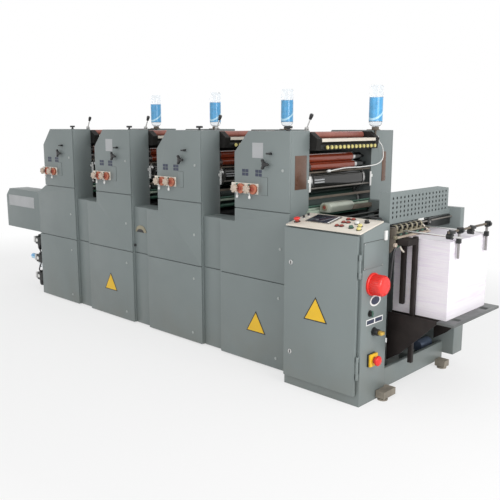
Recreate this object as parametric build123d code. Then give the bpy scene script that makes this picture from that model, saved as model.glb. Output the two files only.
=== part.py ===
from build123d import *
import os
from math import cos, radians, sin, sqrt

os.makedirs("parts", exist_ok=True)

# All sizes are in millimetres. X runs from the feeder to the delivery, Y from the
# operator side to the drive side, and Z up. The origin is on the floor, at the middle.

# The row of printing units
unit_count = 4
unit_pitch = 839.0
tower_width = 493.0
tower_top = 1600.0
tower_chamfer_run = 130.0
tower_chamfer_drop = 142.0

# Lengths along the press, from the feeder end to the delivery end
feeder_length = 650.0
shoulder_run = 147.0
delivery_length = 644.0
rail_reach = 411.0

# Widths across the press, from the console front to the drive side
console_proud = 146.0
operator_thickness = 196.0
inner_width = 720.0
drive_thickness = 284.0

# Side housings and their covers
housing_bottom = 12.0
sill_height = 985.0
shoulder_height = 1004.0
tower_seam = 1080.0
panel_seam = 608.0
cover_thickness = 14.0
cover_reveal = 5.0
cover_corner = 6.0
recess_length = 200.0
recess_depth = 26.0

# Cylinders and rollers
cylinder_radius = 86.0
cylinder_length = 560.0
cylinder_channel_width = 42.0
cylinder_channel_depth = 24.0
channel_overcut = 1.0
bearer_radius = 84.0
bearer_length = 22.0
bearer_gap = 16.0
journal_radius = 24.0
plate_setback = 105.0
plate_height = 1262.0
blanket_shift = 45.0
nip_gap = 1.0
journal_end_gap = 0.3
form_roller_radius = 26.0
form_roller_angle = 65.0
ink_roller_radius = 30.0
ink_roller_angle = 110.0
roller_journal_radius = 10.0
roller_length = 600.0
fountain_roller_radius = 24.0
fountain_setback = 62.0
fountain_height = 1570.0

# Ink ducts and keys
duct_length = 620.0
duct_bottom = 1474.0
duct_front_reach = 48.0
duct_lip_reach = 62.0
duct_back_setback = 48.0
duct_blade_height = 1528.0
duct_top = 1548.0
duct_cheek_top = 1592.0

key_count = 13
key_pitch = 46.0
key_row_shift = 14.0
key_radius = 10.0
key_sides = 8
key_length = 28.0
key_height = 1494.0
key_rail_height = 26.0
key_rail_thickness = 4.0

# Hood sheets and the bed between the housings
hood_thickness = 4.0
hood_setback = 12.0
hood_foot = 1010.0
hood_end_run = 290.0
bed_left_inset = 20.0
bed_top = 900.0
wash_box_length = 260.0
wash_box_near_gap = 76.0
wash_box_width = 82.0
wash_box_height = 64.0
wash_box_rise = 16.0
wash_box_corner = 8.0
wash_bar_gap = 5.0
wash_bar_size = 30.0

# Fittings on the towers
lever_setback = 16.0
lever_inset = 14.0
lever_pivot_rise = 16.0
lever_length = 62.0
lever_tilt = 25.0
lever_rod_radius = 4.5
lever_hub_radius = 10.0
lever_hub_width = 12.0
lever_pin_radius = 4.0
pin_clearance = 0.05
lever_side_gap = 0.4
lever_ear_thickness = 5.0
lever_base_thickness = 4.0
lever_knob_radius = 13.0
lever_knob_root_radius = 9.1
lever_knob_round = 10.4
lever_knob_length = 40.0
knob_setback = 55.0
knob_inset = 47.0
knob_stem_radius = 8.0
knob_stem_height = 16.0
knob_bar_length = 62.0
knob_bar_width = 21.0
knob_bar_height = 15.0
star_knob_offset = 298.0
star_knob_height = 1386.0
star_knob_reach = 34.0
star_knob_depth = 38.0
star_hub_radius = 13.0
star_arm_width = 12.0
star_stem_radius = 7.5
star_knob_turn = 20.0
knob_arms = 3
small_knob_offset = 335.0
small_knob_height = 1456.0
small_knob_width = 10.0
small_knob_depth = 19.0

# Register controls on the tower fronts
register_overhang = 22.0
register_right = 246.0
register_bottom = 1178.0
register_top = 1256.0
register_plate = 8.0
dial_radius = 34.0
dial_depth = 30.0
dial_offsets = (62.0, 176.0)
dial_height = 1218.0
grip_hub_radius = 12.0
grip_lobe_reach = 14.0
grip_lobe_radius = 10.0
grip_depth = 26.0
drop_lever_length = 62.0
drop_lever_radius = 6.0

# Fountain-solution bottles on the drive side
bottle_radius = 49.0
bottle_neck_radius = 16.0
bottle_height = 313.0
bottle_shoulder = 36.0
shoulder_lean = 0.4
bottle_neck_length = 20.0
bottle_base_height = 14.0
bottle_base_step = 12.0
bottle_inset = 30.0
bottle_overhang = 5.0
holder_radius = 26.0
holder_wall = 4.0
holder_height = 18.0
holder_floor = 6.0
holder_gap = 0.3
water_pipe_radius = 7.0
water_pipe_drop = 120.0

# Feeder
feeder_box_bottom = 615.0
feeder_box_chamfer = 80.0
feeder_box_shoulder = 928.0
feeder_drive_top = 890.0
feeder_corner = 12.0
feeder_board_top = 330.0
feeder_board_thickness = 26.0
feeder_board_length = 430.0
feeder_board_width = 600.0

feeder_post_size = 46.0
feeder_post_inset = 70.0
feed_board_length = 300.0
feed_board_thickness = 16.0
feed_board_top = 985.0
feed_board_rise = 40.0
feeder_head_height = 880.0
feeder_head_size = 52.0
sucker_count = 4
sucker_pitch = 120.0
sucker_radius = 13.0
sucker_drop = 70.0
air_unit_length = 159.0
air_unit_width = 75.0
air_unit_bottom = 60.0
air_unit_top = 600.0
air_plate_thickness = 10.0
air_valve_count = 3
air_valve_height = 76.0
air_bowl_radius = 27.0
air_bowl_length = 62.0
air_bowl_round = 16.0
air_gauge_radius = 26.0
air_gauge_length = 88.0
air_knob_radius = 14.0
air_knob_length = 32.0

# Delivery frame
delivery_bottom = 40.0
beam_height = 125.0
beam_thickness = 26.0
tray_thickness = 12.0
near_plate_inset = 41.0
near_plate_thickness = 20.0
near_plate_end_inset = 40.0
near_plate_top = 1060.0
near_plate_ear_top = 1092.0
near_plate_ear_length = 46.0
far_housing_inset = 20.0
far_housing_reach = 80.0
far_housing_bottom = 85.0
far_housing_top = 1100.0
far_housing_thin = 50.0
far_housing_thick = 131.0
far_housing_step = 283.0
gripper_height = 985.0
gripper_wheel_radius = 62.0
gripper_rail_thickness = 14.0
gripper_bar_radius = 9.0
gripper_bar_drop = 18.0
gripper_bar_count = 4

# Perforated guard
guard_thickness = 4.0
guard_far_inset = 52.0
guard_bottom = 1060.0
guard_top = 1250.0
guard_far_drop = 18.0
guard_far_slope = 147.0
guard_flange = 74.0
guard_tab_height = 32.0
guard_rows = 5
guard_columns = 16
guard_row_pitch = 28.0
guard_column_pitch = 43.0
guard_hole_radius = 9.0
guard_hole_sides = 8

# Sheet exit
exit_reach = 46.0
exit_shaft_radius = 7.0
exit_shaft_height = 1036.0
exit_wheel_count = 7
exit_wheel_pitch = 72.0
exit_wheel_radius = 27.0
exit_wheel_root = 17.0
exit_wheel_width = 9.0
exit_wheel_teeth = 9
exit_lip_bottom = 978.0
exit_lip_height = 14.0
exit_bracket_bottom = 888.0
exit_bracket_length = 78.0
exit_bracket_foot = 47.0

# Pile table, its posts, the paper and the stops
table_top = 500.0
board_thickness = 24.0
sheet_length = 365.0
sheet_width = 510.0
pile_overlap = 48.0
pile_top = 972.0
post_size = 27.0
post_gap = 8.0
first_post_offset = 30.0
second_post_offset = 105.0
post_top = 986.0
post_bar_depth = 36.0
post_bar_gap = 3.0
post_bottom = 200.0
first_post_bottom = 560.0
gusset_thickness = 10.0
gusset_gap = 6.0
gusset_left_bottom = 186.0
gusset_low_run = 96.0
gusset_low_rise = 64.0
strip_reach = 75.0
strip_thickness = 16.0
strip_overhang = 34.0
stop_slot_gap = 8.0
stop_slot_extra = 30.0
stop_travel = 20.0
table_cross_width = 44.0
table_cross_depth = 34.0
table_shoe_length = 40.0
stop_rod_radius = 8.0
stop_gap = 8.0
stop_rod_bottom = 870.0

stop_near = -156.0
stop_far = 210.0
rail_radius = 6.0
rail_height = 1014.0
rail_near = -270.0
rail_far = -8.0
rail_tube_radius = 12.0
rail_clearance = 0.05
bushing_size = 34.0
stop_bar_radius = 7.0
stop_knob_radius = 11.0
clamp_size = 36.0

# Console
console_gap = 75.0
console_width = 576.0
console_depth = 293.0
console_front_top = 1032.0
console_back_top = 1080.0
console_back_drop = 13.0
console_back_shelf = 55.0
console_wall = 6.0
console_plinth = 60.0
door_thickness = 20.0
door_gap = 5.0
door_side_margin = 12.0
door_bottom = 66.0
door_corner = 5.0
hinge_radius = 8.0
hinge_pin_radius = 4.0
hinge_length = 70.0
hinge_inset = 10.0
hinge_web = 6.0
panel_thickness = 8.0
panel_left_inset = 20.0
panel_right_inset = 6.0
screen_width = 170.0
screen_depth = 124.0
screen_bezel = 8.0
screen_rise = 6.0
screen_recess = 3.0
screen_place = (0.33, 0.61)
button_radius = 11.0
button_height = 10.0
button_places = ((0.61, 0.3), (0.665, 0.32), (0.61, 0.58), (0.665, 0.6), (0.6, 0.82), (0.66, 0.84))
knob_radius = 13.0
knob_height = 16.0
knob_places = ((0.8, 0.28), (0.78, 0.6), (0.865, 0.44), (0.915, 0.22), (0.862, 0.74))
switch_radius = 8.0
switch_height = 18.0
switch_places = ((0.063, 0.57), (0.066, 0.76))
mushroom_radius = 20.0
mushroom_place = (0.08, 0.25)
beacon_radius = 62.0
beacon_length = 92.0
beacon_round = 12.0
beacon_flange_radius = 68.0
beacon_flange_thickness = 14.0
beacon_height = 730.0
beacon_offset = 128.0

# Fittings on the console's right side, measured from its front and from the floor
side_plate_start = 28.0
side_plate_end = 225.0
side_plate_bottom = 828.0
side_plate_top = 982.0
side_plate_thickness = 5.0
key_switch_offset = 157.0
key_switch_height = 438.0
key_switch_radius = 17.0
key_switch_length = 42.0
key_grip_length = 24.0
key_grip_size = 12.0
stop_box_start = 95.0
stop_box_end = 180.0
stop_box_bottom = 230.0
stop_box_top = 314.0
stop_box_depth = 42.0
stop_stem_radius = 14.0
stop_stem_length = 14.0
side_knob_offset = 110.0
side_knob_height = 557.0
side_knob_radius = 13.0
side_knob_length = 24.0

# Levelling feet
foot_radius = 46.0
foot_screw_radius = 14.0
foot_pad_height = 10.0
foot_inset = 150.0
end_foot_length = 72.0
end_foot_width = 64.0
end_foot_height = 58.0
foot_gap = 5.0

# Places that follow from the sizes above
body_length = shoulder_run + (unit_count - 1) * unit_pitch + tower_width
overall_length = feeder_length + body_length + delivery_length + rail_reach
overall_width = console_proud + operator_thickness + inner_width + drive_thickness
press_left = -overall_length / 2
press_right = overall_length / 2
body_left = press_left + feeder_length
body_right = body_left + body_length
frame_end = body_right + delivery_length
console_front = -overall_width / 2
operator_front = console_front + console_proud
operator_inner = operator_front + operator_thickness
drive_inner = operator_inner + inner_width
drive_rear = drive_inner + drive_thickness
centre_line = (operator_inner + drive_inner) / 2
console_left = body_right + console_gap
console_right = console_left + console_width
console_back = console_front + console_depth
near_plate_front = operator_inner - near_plate_inset
near_plate_back = near_plate_front + near_plate_thickness
far_housing_front = drive_inner - far_housing_inset
pile_left = frame_end - pile_overlap
pile_right = pile_left + sheet_length
pile_near = centre_line - sheet_width / 2
pile_far = centre_line + sheet_width / 2
blanket_setback = plate_setback + blanket_shift
cylinder_spacing = 2 * cylinder_radius + nip_gap
blanket_height = plate_height - sqrt(cylinder_spacing**2 - blanket_shift**2)


def tower_left(unit):
    """X of a tower's left face, counted from the feeder end."""
    return body_left + shoulder_run + unit * unit_pitch


def tower_right(unit):
    """X of a tower's right face."""
    return tower_left(unit) + tower_width


def block(x0, x1, y0, y1, z0, z1):
    """A block between two planes on each axis."""
    middle = Pos((x0 + x1) / 2, (y0 + y1) / 2, (z0 + z1) / 2)
    return middle * Box(x1 - x0, y1 - y0, z1 - z0)


def side_profile(points, y0, y1, corner=0.0):
    """An outline seen from the side, carried across the press from y0 to y1."""
    face = make_face(Polyline(*points, close=True))
    if corner > 0:
        face = fillet(face.vertices(), corner)
    return Pos(0, y1, 0) * (Plane.XZ * extrude(face, y1 - y0))


def end_profile(points, x0, x1, corner=0.0):
    """An outline seen from the end, carried along the press from x0 to x1."""
    face = make_face(Polyline(*points, close=True))
    if corner > 0:
        face = fillet(face.vertices(), corner)
    return Pos(x0, 0, 0) * (Plane.YZ * extrude(face, x1 - x0))


def rod_y(x, z, radius, y0, y1):
    """A round bar across the press."""
    return Pos(x, (y0 + y1) / 2, z) * Rot(90, 0, 0) * Cylinder(radius, y1 - y0)


def rod_x(y, z, radius, x0, x1):
    """A round bar along the press."""
    return Pos((x0 + x1) / 2, y, z) * Rot(0, 90, 0) * Cylinder(radius, x1 - x0)


def rod_z(x, y, radius, z0, z1):
    """An upright round bar."""
    return Pos(x, y, (z0 + z1) / 2) * Cylinder(radius, z1 - z0)


def save(name, *shapes):
    """Write one node, which holds the solids of the shapes."""
    solids = [solid for shape in shapes for solid in shape.solids()]
    export_step(Compound(solids), f"parts/{name}.step")


# Side housings

def housing_outline():
    """The outline of a side housing, with the four chamfered towers on it."""
    points = [(body_left, housing_bottom), (body_right, housing_bottom)]
    for unit in reversed(range(unit_count)):
        points.append((tower_right(unit), tower_top))
        points.append((tower_left(unit) + tower_chamfer_run, tower_top))
        points.append((tower_left(unit), tower_top - tower_chamfer_drop))
        if unit > 0:
            points.append((tower_left(unit), sill_height))
            points.append((tower_right(unit - 1), sill_height))
    points.append((tower_left(0), tower_seam))
    points.append((body_left, shoulder_height))
    return points


def low_cover_outline(left, right):
    top = panel_seam - cover_reveal / 2
    return [(left, housing_bottom), (right, housing_bottom), (right, top), (left, top)]


def cover_outlines():
    """The outlines of the proud covers below the towers, a low and a mid one each."""
    outlines = []
    half = cover_reveal / 2
    for unit in range(unit_count):
        left = body_left if unit == 0 else tower_right(unit - 1) + recess_length
        right = tower_right(unit) - (half if unit < unit_count - 1 else 0)
        outlines.append(low_cover_outline(left, right))
        top = tower_seam - half
        mid = [(left, panel_seam + half), (right, panel_seam + half), (right, top)]
        mid.append((tower_left(unit), top))
        if unit == 0:
            mid.append((left, shoulder_height - half))
        else:
            mid.append((tower_left(unit), sill_height))
            mid.append((left, sill_height))
        outlines.append(mid)
    return outlines


def recess_outlines():
    """The outlines of the set-back covers beside each seam between two units."""
    outlines = []
    half = cover_reveal / 2
    bottom = panel_seam + half
    for unit in range(unit_count - 1):
        left = tower_right(unit) + half
        right = tower_right(unit) + recess_length - half
        outlines.append(low_cover_outline(left, right))
        outlines.append([(left, bottom), (right, bottom), (right, sill_height), (left, sill_height)])
    return outlines


def tower_front_outline(unit):
    """The outline of a tower's own front cover, above the seam."""
    left, right = tower_left(unit), tower_right(unit)
    bottom = tower_seam + cover_reveal / 2
    return [
        (left, bottom),
        (right, bottom),
        (right, tower_top),
        (left + tower_chamfer_run, tower_top),
        (left, tower_top - tower_chamfer_drop),
    ]


def side_housing(y0, y1, pocket_start):
    """A side housing, with a pocket for the set-back covers beside each seam."""
    housing = side_profile(housing_outline(), y0, y1)
    pocket_end = pocket_start + recess_depth
    for unit in range(unit_count - 1):
        left = tower_right(unit)
        housing -= block(left, left + recess_length, pocket_start, pocket_end, 0, tower_seam)
    return housing


def side_covers(y0, y1, set_back):
    """All covers of one side: the low and mid ones, the towers' fronts and the set-back ones."""
    tower_fronts = [tower_front_outline(unit) for unit in range(unit_count)]
    covers = [side_profile(outline, y0, y1, cover_corner) for outline in cover_outlines() + tower_fronts]
    y0, y1 = y0 + set_back, y1 + set_back
    return covers + [side_profile(outline, y0, y1, cover_corner) for outline in recess_outlines()]


operator_cover_back = operator_front + cover_thickness
drive_cover_front = drive_rear - cover_thickness
save("operator_housing", side_housing(operator_cover_back, operator_inner, operator_cover_back))
save("operator_covers", *side_covers(operator_front, operator_cover_back, recess_depth))
save("drive_housing", side_housing(drive_inner, drive_cover_front, drive_cover_front - recess_depth))
save("drive_covers", *side_covers(drive_cover_front, drive_rear, -recess_depth))


# Bed between the housings, with a rounded sheet guide under each blanket cylinder

def bed_casting():
    left = body_left + bed_left_inset
    bed = block(left, body_right, operator_inner, drive_inner, housing_bottom, bed_top)
    for unit in range(unit_count):
        x = tower_right(unit) - blanket_setback
        z = blanket_height - cylinder_spacing
        bed += rod_y(x, z, cylinder_radius - nip_gap, operator_inner, drive_inner)
    return bed


def unit_hood(unit):
    """The bent sheet that closes a unit on its feeder side."""
    left = tower_left(unit) + hood_setback
    half = hood_thickness / 2
    path = Polyline(
        (left, hood_foot),
        (left, tower_top - tower_chamfer_drop - half),
        (left + tower_chamfer_run, tower_top - hood_setback - half),
        (left + hood_end_run, tower_top - hood_setback - half),
    )
    sheet = extrude(trace(path, line_width=hood_thickness), inner_width)
    return Pos(0, drive_inner, 0) * (Plane.XZ * sheet)


save("bed_casting", bed_casting())
save("unit_hoods", *[unit_hood(unit) for unit in range(unit_count)])


# Cylinders and rollers

def printing_cylinder(x, z):
    """A cylinder with bearers, a clamp channel and journals, across the press."""
    near = centre_line - cylinder_length / 2
    far = centre_line + cylinder_length / 2
    body = rod_y(x, z, cylinder_radius, near, far)
    half = cylinder_channel_width / 2
    floor = z + cylinder_radius - cylinder_channel_depth
    top = z + cylinder_radius + channel_overcut
    body -= block(x - half, x + half, near - channel_overcut, far + channel_overcut, floor, top)
    for start in (near - bearer_gap - bearer_length, far + bearer_gap):
        body += rod_y(x, z, bearer_radius, start, start + bearer_length)
    journal_near = operator_inner + journal_end_gap
    return body + rod_y(x, z, journal_radius, journal_near, drive_inner - journal_end_gap)


def plain_roller(x, z, radius):
    """A covered roller on thinner journals that reach both side housings."""
    near = centre_line - roller_length / 2
    far = centre_line + roller_length / 2
    journal_near = operator_inner + journal_end_gap
    journal = rod_y(x, z, roller_journal_radius, journal_near, drive_inner - journal_end_gap)
    return rod_y(x, z, radius, near, far) + journal


def form_roller_place(unit):
    reach = cylinder_radius + form_roller_radius + nip_gap
    angle = radians(form_roller_angle)
    x = tower_right(unit) - plate_setback + reach * cos(angle)
    return x, plate_height + reach * sin(angle)


def ink_roller_place(unit):
    x, z = form_roller_place(unit)
    reach = form_roller_radius + ink_roller_radius + nip_gap
    angle = radians(ink_roller_angle)
    return x + reach * cos(angle), z + reach * sin(angle)


for unit in range(unit_count):
    plate_x, blanket_x = tower_right(unit) - plate_setback, tower_right(unit) - blanket_setback
    save(f"plate_cylinder_{unit + 1}", printing_cylinder(plate_x, plate_height))
    save(f"blanket_cylinder_{unit + 1}", printing_cylinder(blanket_x, blanket_height))
    save(f"ink_roller_{unit + 1}", plain_roller(*ink_roller_place(unit), ink_roller_radius))
    save(f"form_roller_{unit + 1}", plain_roller(*form_roller_place(unit), form_roller_radius))


# Ink ducts

def ink_duct(unit):
    """The trough with its blade, carried by a cheek at each end."""
    right = tower_right(unit)
    near = centre_line - duct_length / 2
    far = centre_line + duct_length / 2
    trough = side_profile(
        [
            (right - duct_back_setback, duct_blade_height - cover_thickness),
            (right - duct_back_setback / 4, duct_bottom),
            (right + duct_front_reach, duct_bottom),
            (right + duct_front_reach, duct_blade_height - cover_thickness),
            (right + duct_lip_reach, duct_blade_height),
            (right + duct_lip_reach, duct_top),
            (right - duct_back_setback / 2, duct_top),
            (right - duct_back_setback, duct_blade_height),
        ],
        near,
        far,
    )
    cheek = [
        (right - fountain_setback - fountain_roller_radius, duct_top),
        (right - duct_back_setback, duct_bottom),
        (right + duct_front_reach, duct_bottom),
        (right + duct_lip_reach, duct_top),
        (right, duct_cheek_top),
        (right - fountain_setback - fountain_roller_radius, duct_cheek_top),
    ]
    for start, end in ((operator_inner, near), (far, drive_inner)):
        trough += side_profile(cheek, start, end)
    return trough


def ink_keys(unit):
    """The row of thumb screws that set the ink film, on their scale rail."""
    face = tower_right(unit) + duct_front_reach
    first = centre_line + key_row_shift - (key_count - 1) * key_pitch / 2
    bottom = key_height - key_rail_height / 2
    top = key_height + key_rail_height / 2
    near = centre_line - duct_length / 2
    keys = block(face, face + key_rail_thickness, near, near + duct_length, bottom, top)
    screw = extrude(RegularPolygon(key_radius, key_sides), key_length)
    for place in range(key_count):
        y = first + place * key_pitch
        keys += Pos(face, y, key_height) * Rot(0, 90, 0) * screw
    return keys


def fountain_roller(unit):
    x = tower_right(unit) - fountain_setback
    near = centre_line - duct_length / 2 + journal_end_gap
    far = centre_line + duct_length / 2 - journal_end_gap
    return rod_y(x, fountain_height, fountain_roller_radius, near, far)


save("ink_ducts", *[ink_duct(unit) for unit in range(unit_count)])
save("ink_keys", *[ink_keys(unit) for unit in range(unit_count)])
save("fountain_rollers", *[fountain_roller(unit) for unit in range(unit_count)])


# The wash-up box at the delivery end of the last unit

def wash_up_box():
    """A trough with leaning sides, on a bar above the gripper rails."""
    left = body_right + wash_bar_size
    near = operator_inner + wash_box_near_gap
    bar_bottom = gripper_height + gripper_wheel_radius + wash_bar_gap
    base = bar_bottom + wash_box_rise
    top = base + wash_box_height
    lean = wash_box_width / 4
    outline = [
        (left, base),
        (left + wash_box_width, base),
        (left + wash_box_width + lean, top - lean),
        (left + wash_box_width, top),
        (left + lean, top),
        (left, top - lean),
    ]
    box = side_profile(outline, near, near + wash_box_length, wash_box_corner)
    bar_top = bar_bottom + wash_bar_size
    return box + block(body_right, left, near_plate_back, far_housing_front, bar_bottom, bar_top)


save("wash_up_box", wash_up_box())


# Levers and knobs on the towers

lever_y = operator_inner - lever_inset
lever_pivot_height = tower_top + lever_pivot_rise


def lever_bracket(unit):
    """Two ears and a pin on top of the operator tower."""
    x = tower_right(unit) - lever_setback
    x0, x1 = x - lever_hub_radius, x + lever_hub_radius
    inner = lever_hub_width / 2 + lever_side_gap
    outer = inner + lever_ear_thickness
    base_top = tower_top + lever_base_thickness
    bracket = block(x0, x1, lever_y - outer, lever_y + outer, tower_top, base_top)
    for side in (-1, 1):
        y0, y1 = sorted((lever_y + side * inner, lever_y + side * outer))
        bracket += block(x0, x1, y0, y1, tower_top, lever_pivot_height)
        bracket += rod_y(x, lever_pivot_height, lever_hub_radius, y0, y1)
    return bracket + rod_y(x, lever_pivot_height, lever_pin_radius, lever_y - outer, lever_y + outer)


def ink_lever(unit):
    """A hub, a leaning rod and its round knob."""
    hub = Rot(90, 0, 0) * Cylinder(lever_hub_radius, lever_hub_width)
    hub -= Rot(90, 0, 0) * Cylinder(lever_pin_radius + pin_clearance, lever_hub_width + 2)
    start = (lever_hub_radius + lever_pin_radius) / 2
    rod = Pos(0, 0, (start + lever_length) / 2) * Cylinder(lever_rod_radius, lever_length - start)
    knob = Cone(lever_knob_root_radius, lever_knob_radius, lever_knob_length)
    knob = fillet(knob.edges().group_by(Axis.Z)[-1], lever_knob_round)
    knob = Pos(0, 0, lever_length + lever_knob_length / 2) * knob
    place = Pos(tower_right(unit) - lever_setback, lever_y, lever_pivot_height)
    return place * Rot(0, lever_tilt, 0) * (hub + rod + knob)


def top_knob(unit):
    """The T-shaped hand knob on top of a tower."""
    x = tower_right(unit) - knob_setback
    y = operator_front + knob_inset
    stem_top = tower_top + knob_stem_height
    bar = Pos(x, y, stem_top) * extrude(SlotOverall(knob_bar_length, knob_bar_width), knob_bar_height)
    return rod_z(x, y, knob_stem_radius, tower_top, stem_top) + bar


def star_knob(unit):
    """The three-armed knob on a tower's front."""
    x = tower_left(unit) + star_knob_offset
    hub = Circle(star_hub_radius)
    for arm in range(knob_arms):
        turn = Rot(0, 0, 360 / knob_arms * arm + star_knob_turn)
        hub += turn * Pos(star_knob_reach / 2, 0) * SlotOverall(star_knob_reach, star_arm_width)
    stem = Cylinder(star_stem_radius, star_knob_depth, align=(Align.CENTER, Align.CENTER, Align.MIN))
    knob = stem + Pos(0, 0, star_knob_depth / 2) * extrude(hub, star_knob_depth / 2)
    return Pos(x, operator_front, star_knob_height) * Rot(90, 0, 0) * knob


def small_knob(unit):
    x = tower_left(unit) + small_knob_offset
    bar = extrude(SlotOverall(star_knob_reach, small_knob_width), small_knob_depth)
    return Pos(x, operator_front, small_knob_height) * Rot(90, 0, 0) * bar


tower_knobs = []
for unit in range(unit_count):
    tower_knobs += [lever_bracket(unit), top_knob(unit), star_knob(unit), small_knob(unit)]
    save(f"ink_lever_{unit + 1}", ink_lever(unit))
save("tower_knobs", *tower_knobs)


# Register controls

def register_control(unit):
    """A mounting plate with two dials, their star grips and drop levers."""
    left = tower_left(unit) - register_overhang
    right = tower_left(unit) + register_right
    back = operator_front
    front = back - register_plate
    control = block(left, right, front, back, register_bottom, register_top)
    for offset in dial_offsets:
        x = tower_left(unit) + offset
        control += rod_y(x, dial_height, dial_radius, front - dial_depth, front)
        grip = Circle(grip_hub_radius)
        for lobe in range(knob_arms):
            turn = Rot(0, 0, 360 / knob_arms * lobe + 90)
            grip += turn * Pos(grip_lobe_reach, 0) * Circle(grip_lobe_radius)
        place = Pos(x - dial_radius / 2, front - dial_depth, dial_height) * Rot(90, 0, 0)
        control += place * extrude(grip, grip_depth)
        lever_x, lever_y = x - dial_radius / 2, front - dial_depth / 2
        top = dial_height - dial_radius / 2
        control += rod_z(lever_x, lever_y, drop_lever_radius, top - drop_lever_length, top)
    return control


save("register_controls", *[register_control(unit) for unit in range(unit_count)])


# Bottles of fountain solution, upside down in their cups

holder_top = tower_top + holder_floor
bottle_bottom = holder_top + holder_gap


def bottle_axis(unit):
    return tower_right(unit) + bottle_overhang, drive_inner + bottle_inset


def water_bottle(unit):
    x, y = bottle_axis(unit)
    neck_top = bottle_neck_length
    body_bottom = neck_top + bottle_shoulder
    side = Polyline((0, 0), (bottle_neck_radius, 0), (bottle_neck_radius, neck_top))
    shoulder = Spline(
        (bottle_neck_radius, neck_top),
        (bottle_radius, body_bottom),
        tangents=((shoulder_lean, 1), (0, 1)),
    )
    wall = Polyline(
        (bottle_radius, body_bottom),
        (bottle_radius, bottle_height - bottle_base_height),
        (bottle_radius - bottle_base_step, bottle_height),
        (0, bottle_height),
        (0, 0),
    )
    return Pos(x, y, bottle_bottom) * revolve(Plane.XZ * make_face(side + shoulder + wall), Axis.Z)


def bottle_holder(unit):
    """A cup on a small plate on the drive tower, with the pipe that leads down."""
    x, y = bottle_axis(unit)
    foot = tower_right(unit)
    plate_left = foot - 2 * holder_radius
    plate_right = x + holder_radius
    holder = block(plate_left, plate_right, y - holder_radius, y + holder_radius, tower_top, holder_top)
    rim = holder_top + holder_height
    holder += rod_z(x, y, holder_radius, tower_top, rim)
    holder -= rod_z(x, y, holder_radius - holder_wall, holder_top, rim + holder_gap)
    pipe_x = foot + water_pipe_radius
    return holder + rod_z(pipe_x, y, water_pipe_radius, tower_top - water_pipe_drop, tower_top)


save("water_bottles", *[water_bottle(unit) for unit in range(unit_count)])
save("bottle_holders", *[bottle_holder(unit) for unit in range(unit_count)])


# Feeder

def feeder_box(y0, y1, top):
    chamfer_drop = shoulder_height - feeder_box_shoulder
    box = side_profile(
        [
            (press_left, feeder_box_bottom),
            (body_left, feeder_box_bottom),
            (body_left, top),
            (press_left + feeder_box_chamfer, top),
            (press_left, top - chamfer_drop),
        ],
        y0,
        y1,
    )
    return fillet(box.edges().filter_by(Axis.Z).group_by(Axis.X)[0], feeder_corner)


def feeder_board():
    """The pile board on two guide posts at the end of the bed."""
    right = body_left + bed_left_inset - feeder_post_size
    left = right - feeder_board_length
    half = feeder_board_width / 2
    top = feeder_board_top
    board = block(left, right, centre_line - half, centre_line + half, top - feeder_board_thickness, top)
    for side in (-1, 1):
        y = centre_line + side * (half - feeder_post_inset)
        y0, y1 = y - feeder_post_size / 2, y + feeder_post_size / 2
        board += block(right, right + feeder_post_size, y0, y1, housing_bottom, bed_top)
    return board


def feed_board():
    """The board that slopes from the feeder head up to the first unit."""
    right = body_left + feed_board_length
    left = body_left - feed_board_length
    half = feeder_board_width / 2
    low = feed_board_top - feed_board_rise
    outline = [
        (left, low - feed_board_thickness),
        (body_left + bed_left_inset, feed_board_top - feed_board_thickness),
        (right, feed_board_top - feed_board_thickness),
        (right, feed_board_top),
        (body_left + bed_left_inset, feed_board_top),
        (left, low),
    ]
    board = side_profile(outline, centre_line - half, centre_line + half)
    x = body_left + bed_left_inset
    underside = feed_board_top - feed_board_thickness
    for side in (-1, 1):
        y = centre_line + side * (half - feeder_post_inset)
        y0, y1 = y - feeder_post_size / 2, y + feeder_post_size / 2
        board += block(x, x + feeder_post_size, y0, y1, bed_top, underside)
    return board


def feeder_head():
    """The suction head: a bar between the side boxes with its suckers."""
    x = body_left - feed_board_length - feeder_head_size
    half = feeder_head_size / 2
    z0 = feeder_head_height - half
    bottom, top = z0 - feeder_head_size / 3, z0 + half
    head = block(x - half, x + half, operator_inner, drive_inner, bottom, top)
    row = (sucker_count - 1) * sucker_pitch / 2
    for place in range(sucker_count):
        y = centre_line - row + place * sucker_pitch
        head += rod_z(x, y, sucker_radius, z0 - sucker_drop, z0)
    return head


def feeder_air_unit():
    """A column of air valves over their filter bowls, on a plate at the housing's feeder end."""
    y0 = operator_front + cover_reveal
    y1 = y0 + air_unit_width
    middle = (y0 + y1) / 2
    left = body_left - air_unit_length
    plate_left = body_left - air_plate_thickness
    unit = block(plate_left, body_left, operator_cover_back, y1, air_unit_bottom, air_unit_top)
    pitch = (air_unit_top - air_unit_bottom) / air_valve_count
    bowl = Cylinder(air_bowl_radius, air_bowl_length)
    bowl = fillet(bowl.edges().group_by(Axis.Z)[0], air_bowl_round)
    for place in range(air_valve_count):
        bottom = air_unit_bottom + pitch * (place + 0.5) - air_valve_height / 2 + air_bowl_radius / 2
        top = bottom + air_valve_height
        unit += block(left, plate_left, y0, y1, bottom, top)
        unit += Pos((left + plate_left) / 2, middle, bottom - air_bowl_length / 2) * bowl
        gauge = place == air_valve_count // 2
        radius = air_gauge_radius if gauge else air_knob_radius
        length = air_gauge_length if gauge else air_knob_length
        unit += rod_x(middle, (bottom + top) / 2, radius, left - length, left)
    return unit


operator_feeder_box = feeder_box(operator_front, operator_inner, shoulder_height)
drive_feeder_box = feeder_box(drive_inner, drive_inner + operator_thickness, feeder_drive_top)
save("feeder_side_boxes", operator_feeder_box, drive_feeder_box)
save("feeder_pile_board", feeder_board())
save("feed_board", feed_board())
save("feeder_head", feeder_head())
save("feeder_air_unit", feeder_air_unit())


# Delivery frame

beam_top = delivery_bottom + beam_height
beam_near = console_back


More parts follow.
